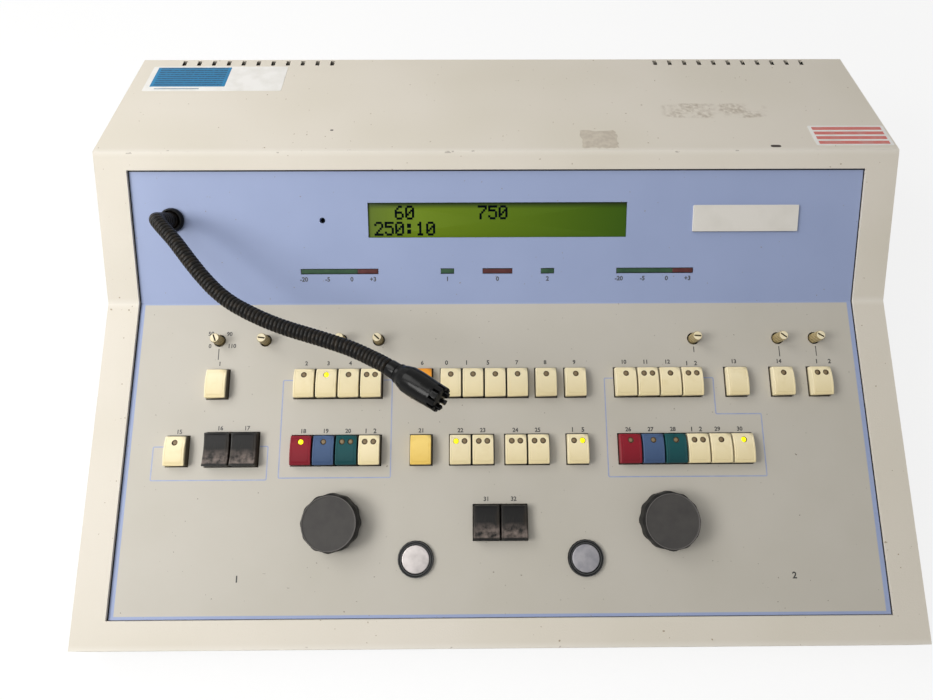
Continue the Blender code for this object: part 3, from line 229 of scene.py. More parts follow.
def skin(rows, first=None, last=None):
    """Quads between neighbouring rows of points, closed round each row, with a fan to a point at either end."""
    rows = np.asarray(rows, float)
    n, m = rows.shape[:2]
    j = np.arange(m)
    k, i = (j + 1) % m, m * np.arange(n - 1)[:, None]
    points, faces = [rows.reshape(-1, 3)], [np.stack((i + j, i + k, i + m + k, i + m + j), -1).reshape(-1, 4)]
    if first is not None:
        faces.append(np.column_stack((k, j, np.full(m, n * m))))
        points.append(np.reshape(first, (1, 3)))
    if last is not None:
        tip = n * m + (first is not None)
        faces.append(np.column_stack((n * m - m + j, n * m - m + k, np.full(m, tip))))
        points.append(np.reshape(last, (1, 3)))
    return np.concatenate(points), faces


def plate(half_x, half_y, corner, levels, **cuts):
    """A closed rounded plate: one rounded rectangle for each (inset, height), closed below and above."""
    rows = []
    for inset, height in levels:
        ring = outline(half_x - inset, half_y - inset, max(corner - inset, 0.01), **cuts)
        rows.append(np.column_stack((ring, np.full(len(ring), height))))
    return skin(rows, (0, 0, levels[0][1]), (0, 0, levels[-1][1]))


def spots_of(mesh):
    """A mesh's vertices as rows of x, y and z."""
    spots = np.empty(len(mesh.vertices) * 3)
    mesh.vertices.foreach_get("co", spots)
    return spots.reshape(-1, 3)


link = bpy.context.scene.collection.objects.link


def piece(name, body, parts, materials, place=case, stands_for=(), smooth=35):
    """Joins (points, faces) parts in mm into one object that rides on a body, its place in its mesh.
    Its UV map holds x and y in mm on the face that carries it."""
    points, faces, numbers, count = [], [], [], 0
    for k, (p, f) in enumerate(parts):
        for block in f:
            faces += (np.asarray(block) + count).tolist()
            numbers += [k] * len(block)
        points.append(p)
        count += len(p)
    mesh = bpy.data.meshes.new(name)
    mesh.from_pydata((np.concatenate(points) * MM).tolist(), [], faces)
    materials = materials if isinstance(materials, (list, tuple)) else [materials]
    for material in materials:
        mesh.materials.append(material)
    mesh.polygons.foreach_set("material_index", np.minimum(numbers, len(materials) - 1))
    bm = bmesh.new()
    bm.from_mesh(mesh)
    bmesh.ops.remove_doubles(bm, verts=bm.verts, dist=0.0005 * MM)
    bm.to_mesh(mesh)
    bm.free()
    corners = np.empty(len(mesh.loops), int)
    mesh.loops.foreach_get("vertex_index", corners)
    mesh.uv_layers.new(name="face").data.foreach_set("uv", spots_of(mesh)[corners, :2].ravel() / MM)
    mesh.transform(Matrix(place.tolist()))
    mesh.shade_smooth()
    mesh.set_sharp_from_angle(angle=math.radians(smooth))
    obj = bpy.data.objects.new(name, mesh)
    link(obj)
    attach(obj, body)
    if stands_for:
        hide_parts(*stands_for)
    return obj


# Printed vinyl film: smooth and a little shiny, with faint soiling
white_vinyl = soiled("white_vinyl", "#EBE9E6", "#D6D3CC", 12, 0.45, 0.9, 0.38, 0.25)
blue_ink = soiled("blue_ink_on_vinyl", "#147AAA", "#186C98", 10, 0.45, 0.9, 0.38, 0.25)
line_ink = soiled("dark_ink_on_vinyl", "#12486A", "#1F80B0", 1.3, 0.45, 0.9, 0.38, 0.25)
red_ink = soiled("red_ink_on_vinyl", "#CC6E66", "#C7938B", 6, 0.45, 0.9, 0.38, 0.25)
# Old paper left where a label was pulled off: matt and fibrous
torn_paper = soiled("torn_paper", "#BDB3A5", "#CBC2B3", 3, 0.35, 0.65, 0.9)


def slab(x0, x1, y0, y1, corner, levels):
    """A rounded plate between two edges each way, stacked up levels as plate is."""
    points, faces = plate((x1 - x0) / 2, (y1 - y0) / 2, corner, levels)
    return points + ((x0 + x1) / 2, (y0 + y1) / 2, 0), faces


def film(x0, x1, y0, y1, low, high, corner=1.0):
    """A flat film between two edges each way, standing from low to high mm over the paint."""
    return slab(x0, x1, y0, y1, corner, ((0, low), (0, high)))


sheet = film(-221.0, -134.2, 61.3, 89.6, 0.02, 0.12)
block = film(-217.6, -170.4, 66.2, 88.4, 0.1, 0.15, 0.4)
rules = [film(-215.5, -172.5, y, y + 1.2, 0.15, 0.17, 0.1) for y in np.arange(67.6, 87, 2.4)]
rules.append(film(-214.0, -186.0, 63.4, 64.1, 0.12, 0.14, 0.1))
piece("rear_label", "case", [sheet, block, *rules], [white_vinyl, blue_ink, line_ink], deck)
sheet = film(184.0, 229.0, 4.2, 23.2, 0.02, 0.12)
bars = [film(186.0, 227.0, y, y + 2.9, 0.1, 0.15, 0.3) for y in (5.4, 9.9, 14.4, 18.9)]
piece("side_label", "case", [sheet, *bars], [white_vinyl, red_ink], deck)
TORN_X, TORN_Y, TORN_EDGE = 59.2, 10.6, 0.75
ring = outline(10.4, 8.3, 1.0, 2, 9, 9)
ring += np.random.default_rng(7).uniform(-TORN_EDGE, TORN_EDGE, ring.shape)
rows = [np.column_stack((ring, np.full(len(ring), height))) for height in (0.02, 0.09)]
torn = skin(rows, (0, 0, 0.02), (0, 0, 0.09))
piece("torn_label", "case", [torn], torn_paper, at(deck, TORN_X, TORN_Y))

# Tray
# The floor of the case, folded from the same steel and painted with the same paint, with four
# black rubber feet pressed over its studs.
FOOT_X, FOOT_Y = np.abs(frame["record"]["mounts"][0]["pos_m"][:2]) / MM
FOOT_RADIUS, FOOT_TOP = 8.25, 4.98
dress("base_tray", paint)


def turned(profile, sides, ripple=None):
    """A profile of (radius, height) turned about z; a ripple says what each angle takes off the radii."""
    profile = np.asarray(profile, float)
    first = last = None
    if profile[0, 0] == 0:
        first, profile = (0, 0, profile[0, 1]), profile[1:]
    if profile[-1, 0] == 0:
        last, profile = (0, 0, profile[-1, 1]), profile[:-1]
    angle = np.arange(sides) * 2 * np.pi / sides
    radius = np.repeat(profile[:, :1], sides, 1)
    if ripple:
        radius = radius - ripple(angle, profile[:, :1], profile[:, 1:2])
    height = np.repeat(profile[:, 1:2], sides, 1)
    return skin(np.stack((radius * np.cos(angle), radius * np.sin(angle), height), -1), first, last)


def eased(points, radius, steps=4):
    """A path with each inner corner c turned to (1-t)^2 a + 2t(1-t) c + t^2 b, a and b a radius away."""
    points = np.asarray(points, float)
    c, before, after = points[1:-1], points[:-2] - points[1:-1], points[2:] - points[1:-1]
    lb, la = (np.linalg.norm(v, axis=1, keepdims=True) for v in (before, after))
    reach = np.broadcast_to(np.reshape(radius, (-1, 1)), lb.shape)
    a = c + before / lb * np.minimum(reach, lb * 0.49)
    b = c + after / la * np.minimum(reach, la * 0.49)
    t = np.linspace(0, 1, steps + 1)[None, :, None]
    curve = (1 - t) ** 2 * a[:, None] + 2 * t * (1 - t) * c[:, None] + t**2 * b[:, None]
    return np.concatenate((points[:1], curve.reshape(-1, points.shape[1]), points[-1:]))


# Moulded natural rubber: dull black, dusted grey in patches
rubber = soiled("moulded_rubber", "#242322", "#3B3936", 2, 0.4, 0.7, 0.8, 0.3)
foot = turned(eased(((0, 0), (6.9, 0), (FOOT_RADIUS, FOOT_TOP), (0, FOOT_TOP)), 0.8), 48)
for side, x in (("left", -FOOT_X), ("right", FOOT_X)):
    for end, y in (("front", -FOOT_Y), ("rear", FOOT_Y)):
        piece(f"foot_{end}_{side}", "case", [foot], rubber, at(case, x, y))

# Control panel
# A bent 2 mm sheet, silk-screened in matt grey on the keypad and pale blue on the display face, the
# blue carried round the keypad as a thin border. Blue outlines, black pointers and black figures are
# printed over it, and a dark seam of dirt and painted shade runs along its edge under the cover.
FOLD_Y, FOLD_Z, KEYPAD_SLOPE, DISPLAY_SLOPE = 10.3485, 68.5452, 14.0, 36.0
GREY_HALF, GREY_TOP, GREY_FRONT, PRINT_BLUR = 208.9, -1.0, -174.7, 0.1
SEAM_SIDE, SEAM_FRONT, SEAM_TOP, SEAM_FADE = 211.3, -176.2, 75.7, 0.2
PANEL_GREY, PANEL_GREY_DARK, PANEL_BLUE, PANEL_BLUE_DARK = "#C1BCB2", "#BDB8AD", "#99A6C9", "#95A2C5"
PANEL_SPECK, SEAM_SHADE_AND_DIRT = "#8A8378", "#2B2A2E"
keypad = face(KEYPAD_SLOPE, FOLD_Y, FOLD_Z)
display = face(DISPLAY_SLOPE, FOLD_Y, FOLD_Z)


# Screen ink on primed steel: satin, with a light orange-peel, small scuffs and specks
panel_ink = finish("screen_printed_sheet", 0.44, 0.25)
grey, seam_shade_and_dirt = 1.0, 0.0
for axis, edge, way in ((0, GREY_HALF, -1), (0, -GREY_HALF, 1), (1, GREY_TOP, -1), (1, GREY_FRONT, 1)):
    inside = past(panel_ink, keypad, axis, edge - way * PRINT_BLUR, 2 * way * PRINT_BLUR)
    grey = add(panel_ink, "Math", {0: grey, 1: inside}, operation="MULTIPLY")
# A dark seam along the edges under the cover: dirt and painted shade
for place, axis, edge, way in (
    (keypad, 0, SEAM_SIDE, 1),
    (keypad, 0, -SEAM_SIDE, -1),
    (keypad, 1, SEAM_FRONT, -1),
    (display, 1, SEAM_TOP, 1),
):
    near = past(panel_ink, place, axis, edge, way * SEAM_FADE)
    seam_shade_and_dirt = add(panel_ink, "Math", {0: seam_shade_and_dirt, 1: near}, operation="MAXIMUM")
soil, specks = mottle(panel_ink, 45, 0.35, 0.7), mottle(panel_ink, 1.7, 0.785, 0.80, 1.0)
blue_print = coats(panel_ink, PANEL_BLUE, (soil, PANEL_BLUE_DARK))
grey_print = coats(panel_ink, PANEL_GREY, (soil, PANEL_GREY_DARK))
colour = coats(panel_ink, blue_print, (grey, grey_print), (specks, PANEL_SPECK), (seam_shade_and_dirt, SEAM_SHADE_AND_DIRT))
grained(panel_ink, colour, mottle(panel_ink, 1.6, 0.3, 0.7, 1.0), 0.02, 0.4)
dress("control_panel", panel_ink)


def ribbon(path, wide, low, high):
    """A flat printed line: a path moved half its width to either side along mitred normals, low to high."""
    path = np.asarray(path, float)
    ways = np.diff(path, axis=0)
    ways /= np.linalg.norm(ways, axis=1, keepdims=True)
    normals = np.stack((-ways[:, 1], ways[:, 0]), -1)
    a, b = np.concatenate((normals[:1], normals)), np.concatenate((normals, normals[-1:]))
    side = (a + b) / (1 + np.sum(a * b, 1, keepdims=True)) * wide / 2
    rows = [
        np.column_stack((path + s * side, np.full(len(path), z)))
        for s, z in ((1, low), (-1, low), (-1, high), (1, high))
    ]
    rows = np.stack(rows, 1)
    return skin(rows, rows[0].mean(0), rows[-1].mean(0))


# Blue outline ink, a little glossier than the sheet
outline_ink = soiled("blue_outline_ink", "#8E9AC0", "#A3ABC6", 5, 0.4, 0.8, 0.4)
# Black legend ink, dense and even
legend_ink = soiled("black_legend_ink", "#2E2D2B", "#4A4845", 2, 0.5, 0.9, 0.42)

INK_LOW, INK_HIGH, OUTLINE_WIDE, POINTER_WIDE, POINTER_TOP = 0.005, 0.03, 0.62, 0.5, -27.5
OUTLINES = (
    ((-135.9, -84.3), (-131.3, -84.3), (-131.3, -103.0), (-196.2, -103.0), (-196.2, -84.3), (-188.8, -84.3)),
    ((-118.6, -46.5), (-124.6, -46.5), (-124.6, -102.0), (-61.6, -102.0), (-61.6, -46.5), (-66.6, -46.5)),
    ((66.6, -46.1), (61.6, -46.1), (61.6, -102.4), (151.2, -102.4))
    + ((151.2, -67.2), (125.1, -67.2), (125.1, -46.1), (118.6, -46.1)),
)
POINTERS = ((-163.4, -34.1), (115.2, -30.9), (165.5, -33.7), (187.2, -33.4))
lines = [ribbon(eased(path, 0.8, 3), OUTLINE_WIDE, INK_LOW, INK_HIGH) for path in OUTLINES]
piece("panel_outlines", "case", lines, outline_ink, keypad)
lines = [ribbon(((x, POINTER_TOP), (x, foot)), POINTER_WIDE, INK_LOW, INK_HIGH) for x, foot in POINTERS]
piece("panel_pointers", "case", lines, legend_ink, keypad)


def shown(obj):
    """A mesh of what an object shows, with its modifiers or its type worked out."""
    bpy.context.view_layer.update()
    return bpy.data.meshes.new_from_object(obj.evaluated_get(bpy.context.evaluated_depsgraph_get()))


def figures(words):
    """Flat figures from (text, x, y, height): each line of type is made a mesh, then moved to its place."""
    parts = []
    for text, x, y, height in words:
        curve = bpy.data.curves.new("type", "FONT")
        curve.body, curve.size, curve.align_x, curve.align_y = text, height / 0.7, "CENTER", "CENTER"
        curve.extrude, curve.resolution_u, curve.offset = 0.012, 3, 0.045 * height
        obj = bpy.data.objects.new("type", curve)
        link(obj)
        mesh = shown(obj)
        parts.append((spots_of(mesh) + (x, y, 0.015), [[list(p.vertices)] for p in mesh.polygons]))
        bpy.data.objects.remove(obj)
    return parts


# Figures on the keypad by their height in mm, each with its place
KEYPAD_FIGURES = {
    2.3: (("0", -168.8, -26.0), ("50", -168.6, -18.6), ("90", -157.8, -18.8), ("110", -156.0, -26.0)),
    2.5: (("0", -30.2, -36.6), ("1", -18.5, -36.6), ("5", -6.0, -36.6), ("1", 110.4, -37.6))
    + (("2", 115.6, -37.6), ("1", 186.8, -36.8), ("2", 194.4, -36.8), ("1", 42.0, -75.9))
    + (("5", 48.0, -75.9), ("1", -76.0, -76.0), ("2", -70.9, -76.0), ("1", 110.4, -76.0), ("2", 115.5, -76.0)),
    3.4: (("1", -144.1, -156.0), ("2", 161.0, -156.0)),
}
words = [(*word, height) for height, group in KEYPAD_FIGURES.items() for word in group]
piece("keypad_figures", "case", figures(words), legend_ink, keypad)
BAR_X, TONE_X, FIGURES_Y, FIGURE_HIGH = 93.2, 29.6, 13.9, 2.5
SCALE = (("-20", -21.2), ("-5", -7.2), ("0", 7.1), ("+3", 19.6))
words = [(text, side * BAR_X + x, FIGURES_Y, FIGURE_HIGH) for side in (-1, 1) for text, x in SCALE]
words += [(text, x, FIGURES_Y, FIGURE_HIGH) for text, x in (("1", -TONE_X), ("0", 0.0), ("2", TONE_X))]
piece("display_figures", "case", figures(words), legend_ink, display)

# Badge plate
# A white plate under clear film stands at the right of the display face. It is left bare, with
# painted shade along two of its edges.
BADGE_X, BADGE_Y, BADGE_HALF_X, BADGE_HALF_Y = 144.6, 48.7, 30.7, 7.5
BADGE_LEVELS = ((0.0, 0.4), (0.0, 1.15), (0.15, 1.3), (0.7, 1.32), (0.8, 1.26), (1.0, 1.26), (1.1, 1.32))
# White film: smooth and a little soiled, with painted shade along its lower and right edges
badge_film = finish("white_badge_film", 0.38, 0.25)
spot = at(display, BADGE_X, BADGE_Y)
# Painted shade along the lower and right edges
right = past(badge_film, spot, 0, BADGE_HALF_X - 0.1, 0.15)
below = past(badge_film, spot, 1, 0.1 - BADGE_HALF_Y, -0.15)
edge = add(badge_film, "Math", {0: right, 1: below}, operation="MAXIMUM")
soil = mottle(badge_film, 20, 0.45, 0.9)
wire(badge_film, Base_Color=coats(badge_film, "#DEDAD3", (soil, "#D0CCC3"), (edge, "#4A4B52")))
badge = plate(BADGE_HALF_X + 0.1, BADGE_HALF_Y + 0.1, 0.6, BADGE_LEVELS)
piece("badge_face", "case", [badge], badge_film, spot, smooth=15)

# Character display and lamps
# A liquid crystal behind the window shows two rows of dot figures on yellow-green. Lamp bars and
# small lamps of tinted acrylic stand below it, soldered to the board behind, and a light sensor in a
# black rim looks out at the left.
LCD_RISE, LCD_HALF_X, LCD_HALF_Y, LCD_DEPTH, LCD_PLAY = 48.2, 75.5, 10.0, 1.0, 0.1
LCD_GREEN, LCD_GREEN_RIGHT, LCD_SHADE, LCD_DOT = "#6A810A", "#3C5C0E", "#26350C", "#050A10"
TOP_SHADE_FROM, TOP_SHADE_WIDE, SIDE_SHADE_WIDE = 6.4, 2.8, 30.0
DOT, DOT_PITCH, DOT_ROW_PITCH, CHARACTER_PITCH, ROW_PITCH = 1.3, 1.0, 1.12, 6.05, 9.2
FIRST_COLUMN_X, FIRST_ROW_Y, DOT_HEIGHT = -71.4, 7.7, 0.13
GLYPHS = {
    "0": "01110 10001 10011 10101 11001 10001 01110",
    "1": "00100 01100 00100 00100 00100 00100 01110",
    "2": "01110 10001 00001 00010 00100 01000 11111",
    "5": "11111 10000 11110 00001 00001 10001 01110",
    "6": "00110 01000 10000 11110 10001 10001 01110",
    "7": "11111 00001 00010 00100 01000 01000 01000",
    ":": "00000 01100 01100 00000 01100 01100 00000",
    " ": "",
}
LCD_ROWS = ("  60      750", "250:10")

# Liquid crystal glass: smooth film polariser over a yellow-green ground, shaded by the window's edges
lcd_glass = finish("liquid_crystal_glass", 0.5, 0.15)
lcd_place = at(display, 0, LCD_RISE, -LCD_DEPTH)
right = past(lcd_glass, lcd_place, 0, -LCD_HALF_X, 2 * LCD_HALF_X)
top = past(lcd_glass, lcd_place, 1, TOP_SHADE_FROM, TOP_SHADE_WIDE)
left = past(lcd_glass, lcd_place, 0, SIDE_SHADE_WIDE - LCD_HALF_X, -SIDE_SHADE_WIDE, 0.5)
colour = coats(lcd_glass, LCD_GREEN, (right, LCD_GREEN_RIGHT), (top, LCD_SHADE), (left, LCD_SHADE))
wire(lcd_glass, Base_Color=colour)
glass = plate(LCD_HALF_X - LCD_PLAY, LCD_HALF_Y - LCD_PLAY, 0.2, ((0, -0.5), (0, 0.06), (0.1, 0.1)))
piece("display_glass", "case", [glass], lcd_glass, lcd_place)
# Switched crystal dots: near-black green, as flat as the glass
crystal_dot = soiled("switched_crystal", LCD_DOT, "#0A151B", 8, 0.4, 0.8, 0.5, 0.0)
cells = [
    (c * CHARACTER_PITCH + k % 5 * DOT_PITCH, -r * ROW_PITCH - k // 5 * DOT_ROW_PITCH)
    for r, row in enumerate(LCD_ROWS)
    for c, letter in enumerate(row)
    for k, bit in enumerate(GLYPHS[letter].replace(" ", ""))
    if bit == "1"
]
corners = np.array(((0, 0), (DOT, 0), (DOT, DOT), (0, DOT))) - DOT / 2
spots = np.array(cells)[:, None] + corners + (FIRST_COLUMN_X, FIRST_ROW_Y)
spots = np.dstack((spots, np.full(spots.shape[:2], DOT_HEIGHT)))
dots = (spots.reshape(-1, 3), [np.arange(len(spots) * 4).reshape(-1, 4)])
piece("display_dots", "case", [dots], crystal_dot, lcd_place)

# Tinted acrylic of the unlit lamps: glossy, deep and a little uneven
green_lens = soiled("green_acrylic", "#38553C", "#2C4735", 4, 0.35, 0.75, 0.25, 0.15)
red_lens = soiled("red_acrylic", "#5C3230", "#4A2827", 4, 0.35, 0.75, 0.25, 0.15)
BAR_RISE, BAR_HALF_X, BAR_HALF_Y, BAR_CHANGE, TONE_HALF_X, RESPONSE_HALF_X = 18.6, 22.6, 1.35, 10.6, 4.0, 8.85
LENS_LEVELS = ((0.1, -1.0), (0.1, -0.28), (0.25, -0.18), (0.5, -0.15))
for name, x, start, end, lens in (
    ("level_bar_left", -BAR_X, -BAR_HALF_X, BAR_CHANGE, green_lens),
    ("level_bar_left_end", -BAR_X, BAR_CHANGE, BAR_HALF_X, red_lens),
    ("level_bar_right", BAR_X, -BAR_HALF_X, BAR_CHANGE, green_lens),
    ("level_bar_right_end", BAR_X, BAR_CHANGE, BAR_HALF_X, red_lens),
    ("tone_lamp_left", -TONE_X, -TONE_HALF_X, TONE_HALF_X, green_lens),
    ("tone_lamp_right", TONE_X, -TONE_HALF_X, TONE_HALF_X, green_lens),
    ("response_lamp", 0.0, -RESPONSE_HALF_X, RESPONSE_HALF_X, red_lens),
):
    shape = slab(start, end, -BAR_HALF_Y, BAR_HALF_Y, 0.3, LENS_LEVELS)
    piece(name, "case", [shape], lens, at(display, x, BAR_RISE))
# The light sensor's black rim, pressed in its hole
SENSOR_X, SENSOR_Y = -102.0, 48.2
sensor_rim = turned(((1.27, 0.0), (1.62, 0.0), (1.62, 0.12), (1.27, 0.2), (1.27, 0.0)), 32)
piece("sensor_rim", "case", [sensor_rim], crystal_dot, at(display, SENSOR_X, SENSOR_Y))
# Black laminate of the boards and black mouldings on them: even and satin
board_black = soiled("black_laminate", "#1C1D1E", "#2A2B2C", 2, 0.4, 0.7, 0.5)
for name in ("display_board", "key_board", "main_board"):
    dress(name, board_black)

# Key caps
# Forty push keys on half-inch switches. The caps are moulded in coloured ABS, crowned along their
# length or dished where they are wide and black, with a fine border line pressed in the top. Most
# have one or two round lamps set in wells near the rear edge.
SKIRT, DRAFT, CAP_CORNER, CAP_EDGE = 1.5, 0.3, 0.8, 0.25
LAMP_RADIUS, LAMP_SPREAD, LAMP_FROM_BACK, LAMP_WELL, LENS_RADIUS = 1.65, 4.8, 3.9, 0.9, 1.45
# Each row's figures stand this far behind its caps. A key has one lamp where no other count is given
KEY_ROWS = (
    (
        12.0,
        "talk_forward_key:0 warble_key tone_key_1 mic_key_1 tape_key_1:2 extended_range_key step_0_key "
        "step_1_key step_5_key increment_test_key auto_threshold_key channel_sync_key tone_key_2 "
        "noise_key_2:2 mic_key_2 tape_key_2:2 delete_key:0 talk_back_key monitor_key:2",
    ),
    (10.9, "clear_key"),
    (12.0, "incorrect_key:0 correct_key:0"),
    (
        10.9,
        "right_key_1 left_key_1 bone_key_1:2 speaker_key_1:2 store_key:0 manual_key_1:2 pulse_key:2 "
        "manual_key_2:2 alternate_key:2 decibel_key:2 right_key_2 left_key_2 bone_key_2 speaker_key_2:2 "
        "insert_key_2 off_key_2",
    ),
    (12.6, "lower_key:0 raise_key:0"),
)
# These have figures of another kind in the panel's own list
OWN_FIGURES = "step_0_key step_1_key step_5_key tape_key_2 speaker_key_1 speaker_key_2".split()
OWN_FIGURES += ["monitor_key", "decibel_key"]
KEY_FIGURE_HIGH = 2.3
LIT = {"tone_key_1": 0, "right_key_1": 0, "manual_key_1": 0, "decibel_key": 1, "off_key_2": 0}
# Each plastic's colour, a darker one for mottle and painted shade, and a paler one for painted highlight
CAP_COLOURS = {
    "cream": ("#F4E6BF", "#E7D6A7", "#FBF2D4"),
    "red": ("#8A1F2C", "#781A26", "#A23A44"),
    "blue": ("#4A5F82", "#3F5374", "#6C80A2"),
    "green": ("#1A5053", "#134145", "#36706F"),
    "orange": ("#F2A038", "#DF8F2C", "#F8B55C"),
    "yellow": ("#FADA80", "#EBC768", "#FCE59C"),
    "black": ("#171616", "#131313", "#37342F"),
}
CAP_GLOSS = {"black": (0.3, 0.16), "cream": (0.38, 0.4)}
WEAR_AND_REFLECTION, CAP_FLANK_SHADE = "#83766F", "#2E2519"
slots = {part["node"]: part["material_slot"] for part in frame["record"]["subparts"]}


def seat(name, place):
    """The middle and the half sizes on a face of a CAD node's own corners, in mm, to a thousandth."""
    spots = (spots_of(nodes[name].data) - place[:3, 3]) @ place[:3, :2] / MM
    low, high = spots.min(0), spots.max(0)
    return np.round((low + high) / 2, 3), np.round((high - low) / 2, 3)


def cap_plastic(colour):
    """Moulded ABS with a soft gloss, with painted shade towards the front and painted highlight along its
    sides.
    Its flanks carry painted shade up to a line that climbs to the right. A black one has streaks of painted
    sheen, and patches at the front of wear and painted reflection."""
    base, dark, painted_highlight = CAP_COLOURS[colour]
    plastic = finish(f"moulded_abs_{colour}", *CAP_GLOSS.get(colour, (0.38, 0.15)))
    uv = add(plastic, "UVMap", uv_map="face")
    u, v = (add(plastic, "SeparateXYZ", {0: uv}, k) for k in (0, 1))
    # Painted shade towards the front of the top, and painted highlight along its sides
    front = add(plastic, "MapRange", {0: v, 1: 4.0, 2: -8.0})
    side = add(plastic, "Math", {0: u}, operation="ABSOLUTE")
    side = add(plastic, "MapRange", {0: side, 1: 5.4, 2: 5.9, 4: 0.35})
    layers = [(front, dark), (side, painted_highlight), (mottle(plastic, 6, 0.55, 0.85), dark)]
    if colour == "black":
        # A black cap's pale streaks are painted sheen, and its pale patches at the front are wear and painted
        # reflection
        streaks = mottle(plastic, 0.6 / MM, 0.45, 0.75, 2.0, (1.0, 0.12, 1.0), uv)
        fade = add(plastic, "MapRange", {0: v, 1: 7.0, 2: -5.0, 4: 0.7})
        streaks = add(plastic, "Math", {0: streaks, 1: fade}, operation="MULTIPLY")
        wear_and_reflection = mottle(plastic, 3.2, 0.34, 0.66, 5.0)
        for start, end, share in ((0.5, -5.0, 0.9), (-8.2, -7.6, 1.0)):
            reach = add(plastic, "MapRange", {0: v, 1: start, 2: end, 4: share})
            wear_and_reflection = add(plastic, "Math", {0: wear_and_reflection, 1: reach}, operation="MULTIPLY")
        layers += [(streaks, painted_highlight), (wear_and_reflection, WEAR_AND_REFLECTION)]
    # Painted shade on the flanks, from the panel up to a height that climbs to the right
    up, foot = keypad[:3, 2], float(keypad[:3, 2] @ keypad[:3, 3])
    shade_line = add(plastic, "MapRange", {0: u, 1: -6.0, 2: 6.0, 3: foot + 1.8 * MM, 4: foot + 4.8 * MM})
    full = add(plastic, "Math", {0: shade_line, 1: 1.5 * MM}, operation="SUBTRACT")
    where = add(plastic, "TexCoord", out=3)
    rise = add(plastic, "VectorMath", {0: where, 1: up.tolist()}, 1, operation="DOT_PRODUCT")
    flank_shade = add(plastic, "MapRange", {0: rise, 1: shade_line, 2: full, 4: 0.94})
    mixed = coats(plastic, base, *layers, (flank_shade, CAP_FLANK_SHADE))
    grained(plastic, mixed, mottle(plastic, 0.5, 0.3, 0.7, 1.0), 0.01, 0.4)
    return plastic


cap_materials = {colour: cap_plastic(colour) for colour in CAP_COLOURS}


def crown(y, half, wide):
    """Height of the top along the cap: a straight slope from front to back plus a bow of 4 s (1 - s)."""
    front, back, bow = (6.0, 5.0, -1.2) if wide else (4.5, 3.8, 1.25)
    s = np.clip((y / (half - DRAFT) + 1) / 2, 0, 1)
    return front + (back - front) * s + bow * 4 * s * (1 - s)


def cap(half_x, half_y, wide):
    """Rounded rectangles stacked up the drafted side, over a rounded edge and in over the crown."""
    turn = np.radians(np.linspace(0, 90, 5))
    edge = np.column_stack((DRAFT + CAP_EDGE * (1 - np.cos(turn)), CAP_EDGE * (1 - np.sin(turn))))
    line = ((1.30, 0), (1.42, 0.09), (1.58, 0.09), (1.70, 0))
    middle = [(d, 0) for d in np.linspace(2.6, half_x, 4)]
    rows = []
    for inset, below in ((DRAFT * 0.9, 0.9), *edge, *line, *middle):
        ring = outline(half_x - inset, half_y - inset, max(CAP_CORNER - inset, 0.0), 3, 2, 8)
        rows.append(np.column_stack((ring, crown(ring[:, 1], half_y, wide) - below)))
    ring = outline(half_x, half_y, CAP_CORNER, 3, 2, 8)
    rows.insert(0, np.column_stack((ring, np.full(len(ring), -SKIRT))))
    return skin(rows, (0, 0, -SKIRT))


def carve(obj, tool, shade=None):
    """Cuts one closed piece out of another and keeps the result as the piece's own mesh. A shade, where one is
    given, is the finish of the walls that are cut."""
    if shade:
        obj.data.materials.append(shade)
        tool.data.polygons.foreach_set("material_index", np.ones(len(tool.data.polygons), int))
    modifier = obj.modifiers.new("cut", "BOOLEAN")
    modifier.solver, modifier.object = "EXACT", tool
    mesh = shown(obj)
    obj.modifiers.clear()
    mesh.set_sharp_from_angle(angle=math.radians(35))
    obj.data = mesh
    bpy.data.objects.remove(tool)


# The walls of the lamp wells: painted shade, dark brown
well_shade = soiled("lamp_well_shade", "#5E4A34", "#45362A", 1, 0.4, 0.7, 0.8)


def from_middle(material):
    """How far a point lies from the middle line of its piece, in mm: the length of its UV."""
    return add(material, "VectorMath", {0: add(material, "UVMap", uv_map="face")}, 1, operation="LENGTH")


def lamp_resin(name, middle, edge, start, end, glow, *values):
    """A round lens of cast resin: one colour up to `start` of its radius and another from `end` outwards."""
    resin = finish(name, *values)
    rim = {0: from_middle(resin), 1: start * LENS_RADIUS, 2: end * LENS_RADIUS}
    colour = coats(resin, middle, (add(resin, "MapRange", rim), edge))
    wire(resin, Base_Color=colour)
    if glow:
        wire(resin, Emission_Color=colour, Emission_Strength=glow)
    return resin


# Unlit lamps are smoked resin with a pale die behind, in a dark ring, and lit ones glow yellow all over
lamp_off = lamp_resin("unlit_lamp_resin", "#877559", "#5A4932", 0.5, 0.95, 0.0, 0.4, 0.2)
lamp_lit = lamp_resin("lit_lamp_resin", "#FFFF00", "#F2DC00", 0.7, 1.0, 0.9, 0.3)
lens = turned(eased(((0, 0), (LENS_RADIUS, 0), (LENS_RADIUS, 0.35), (0.8, 0.55), (0, 0.6)), 0.2), 20)

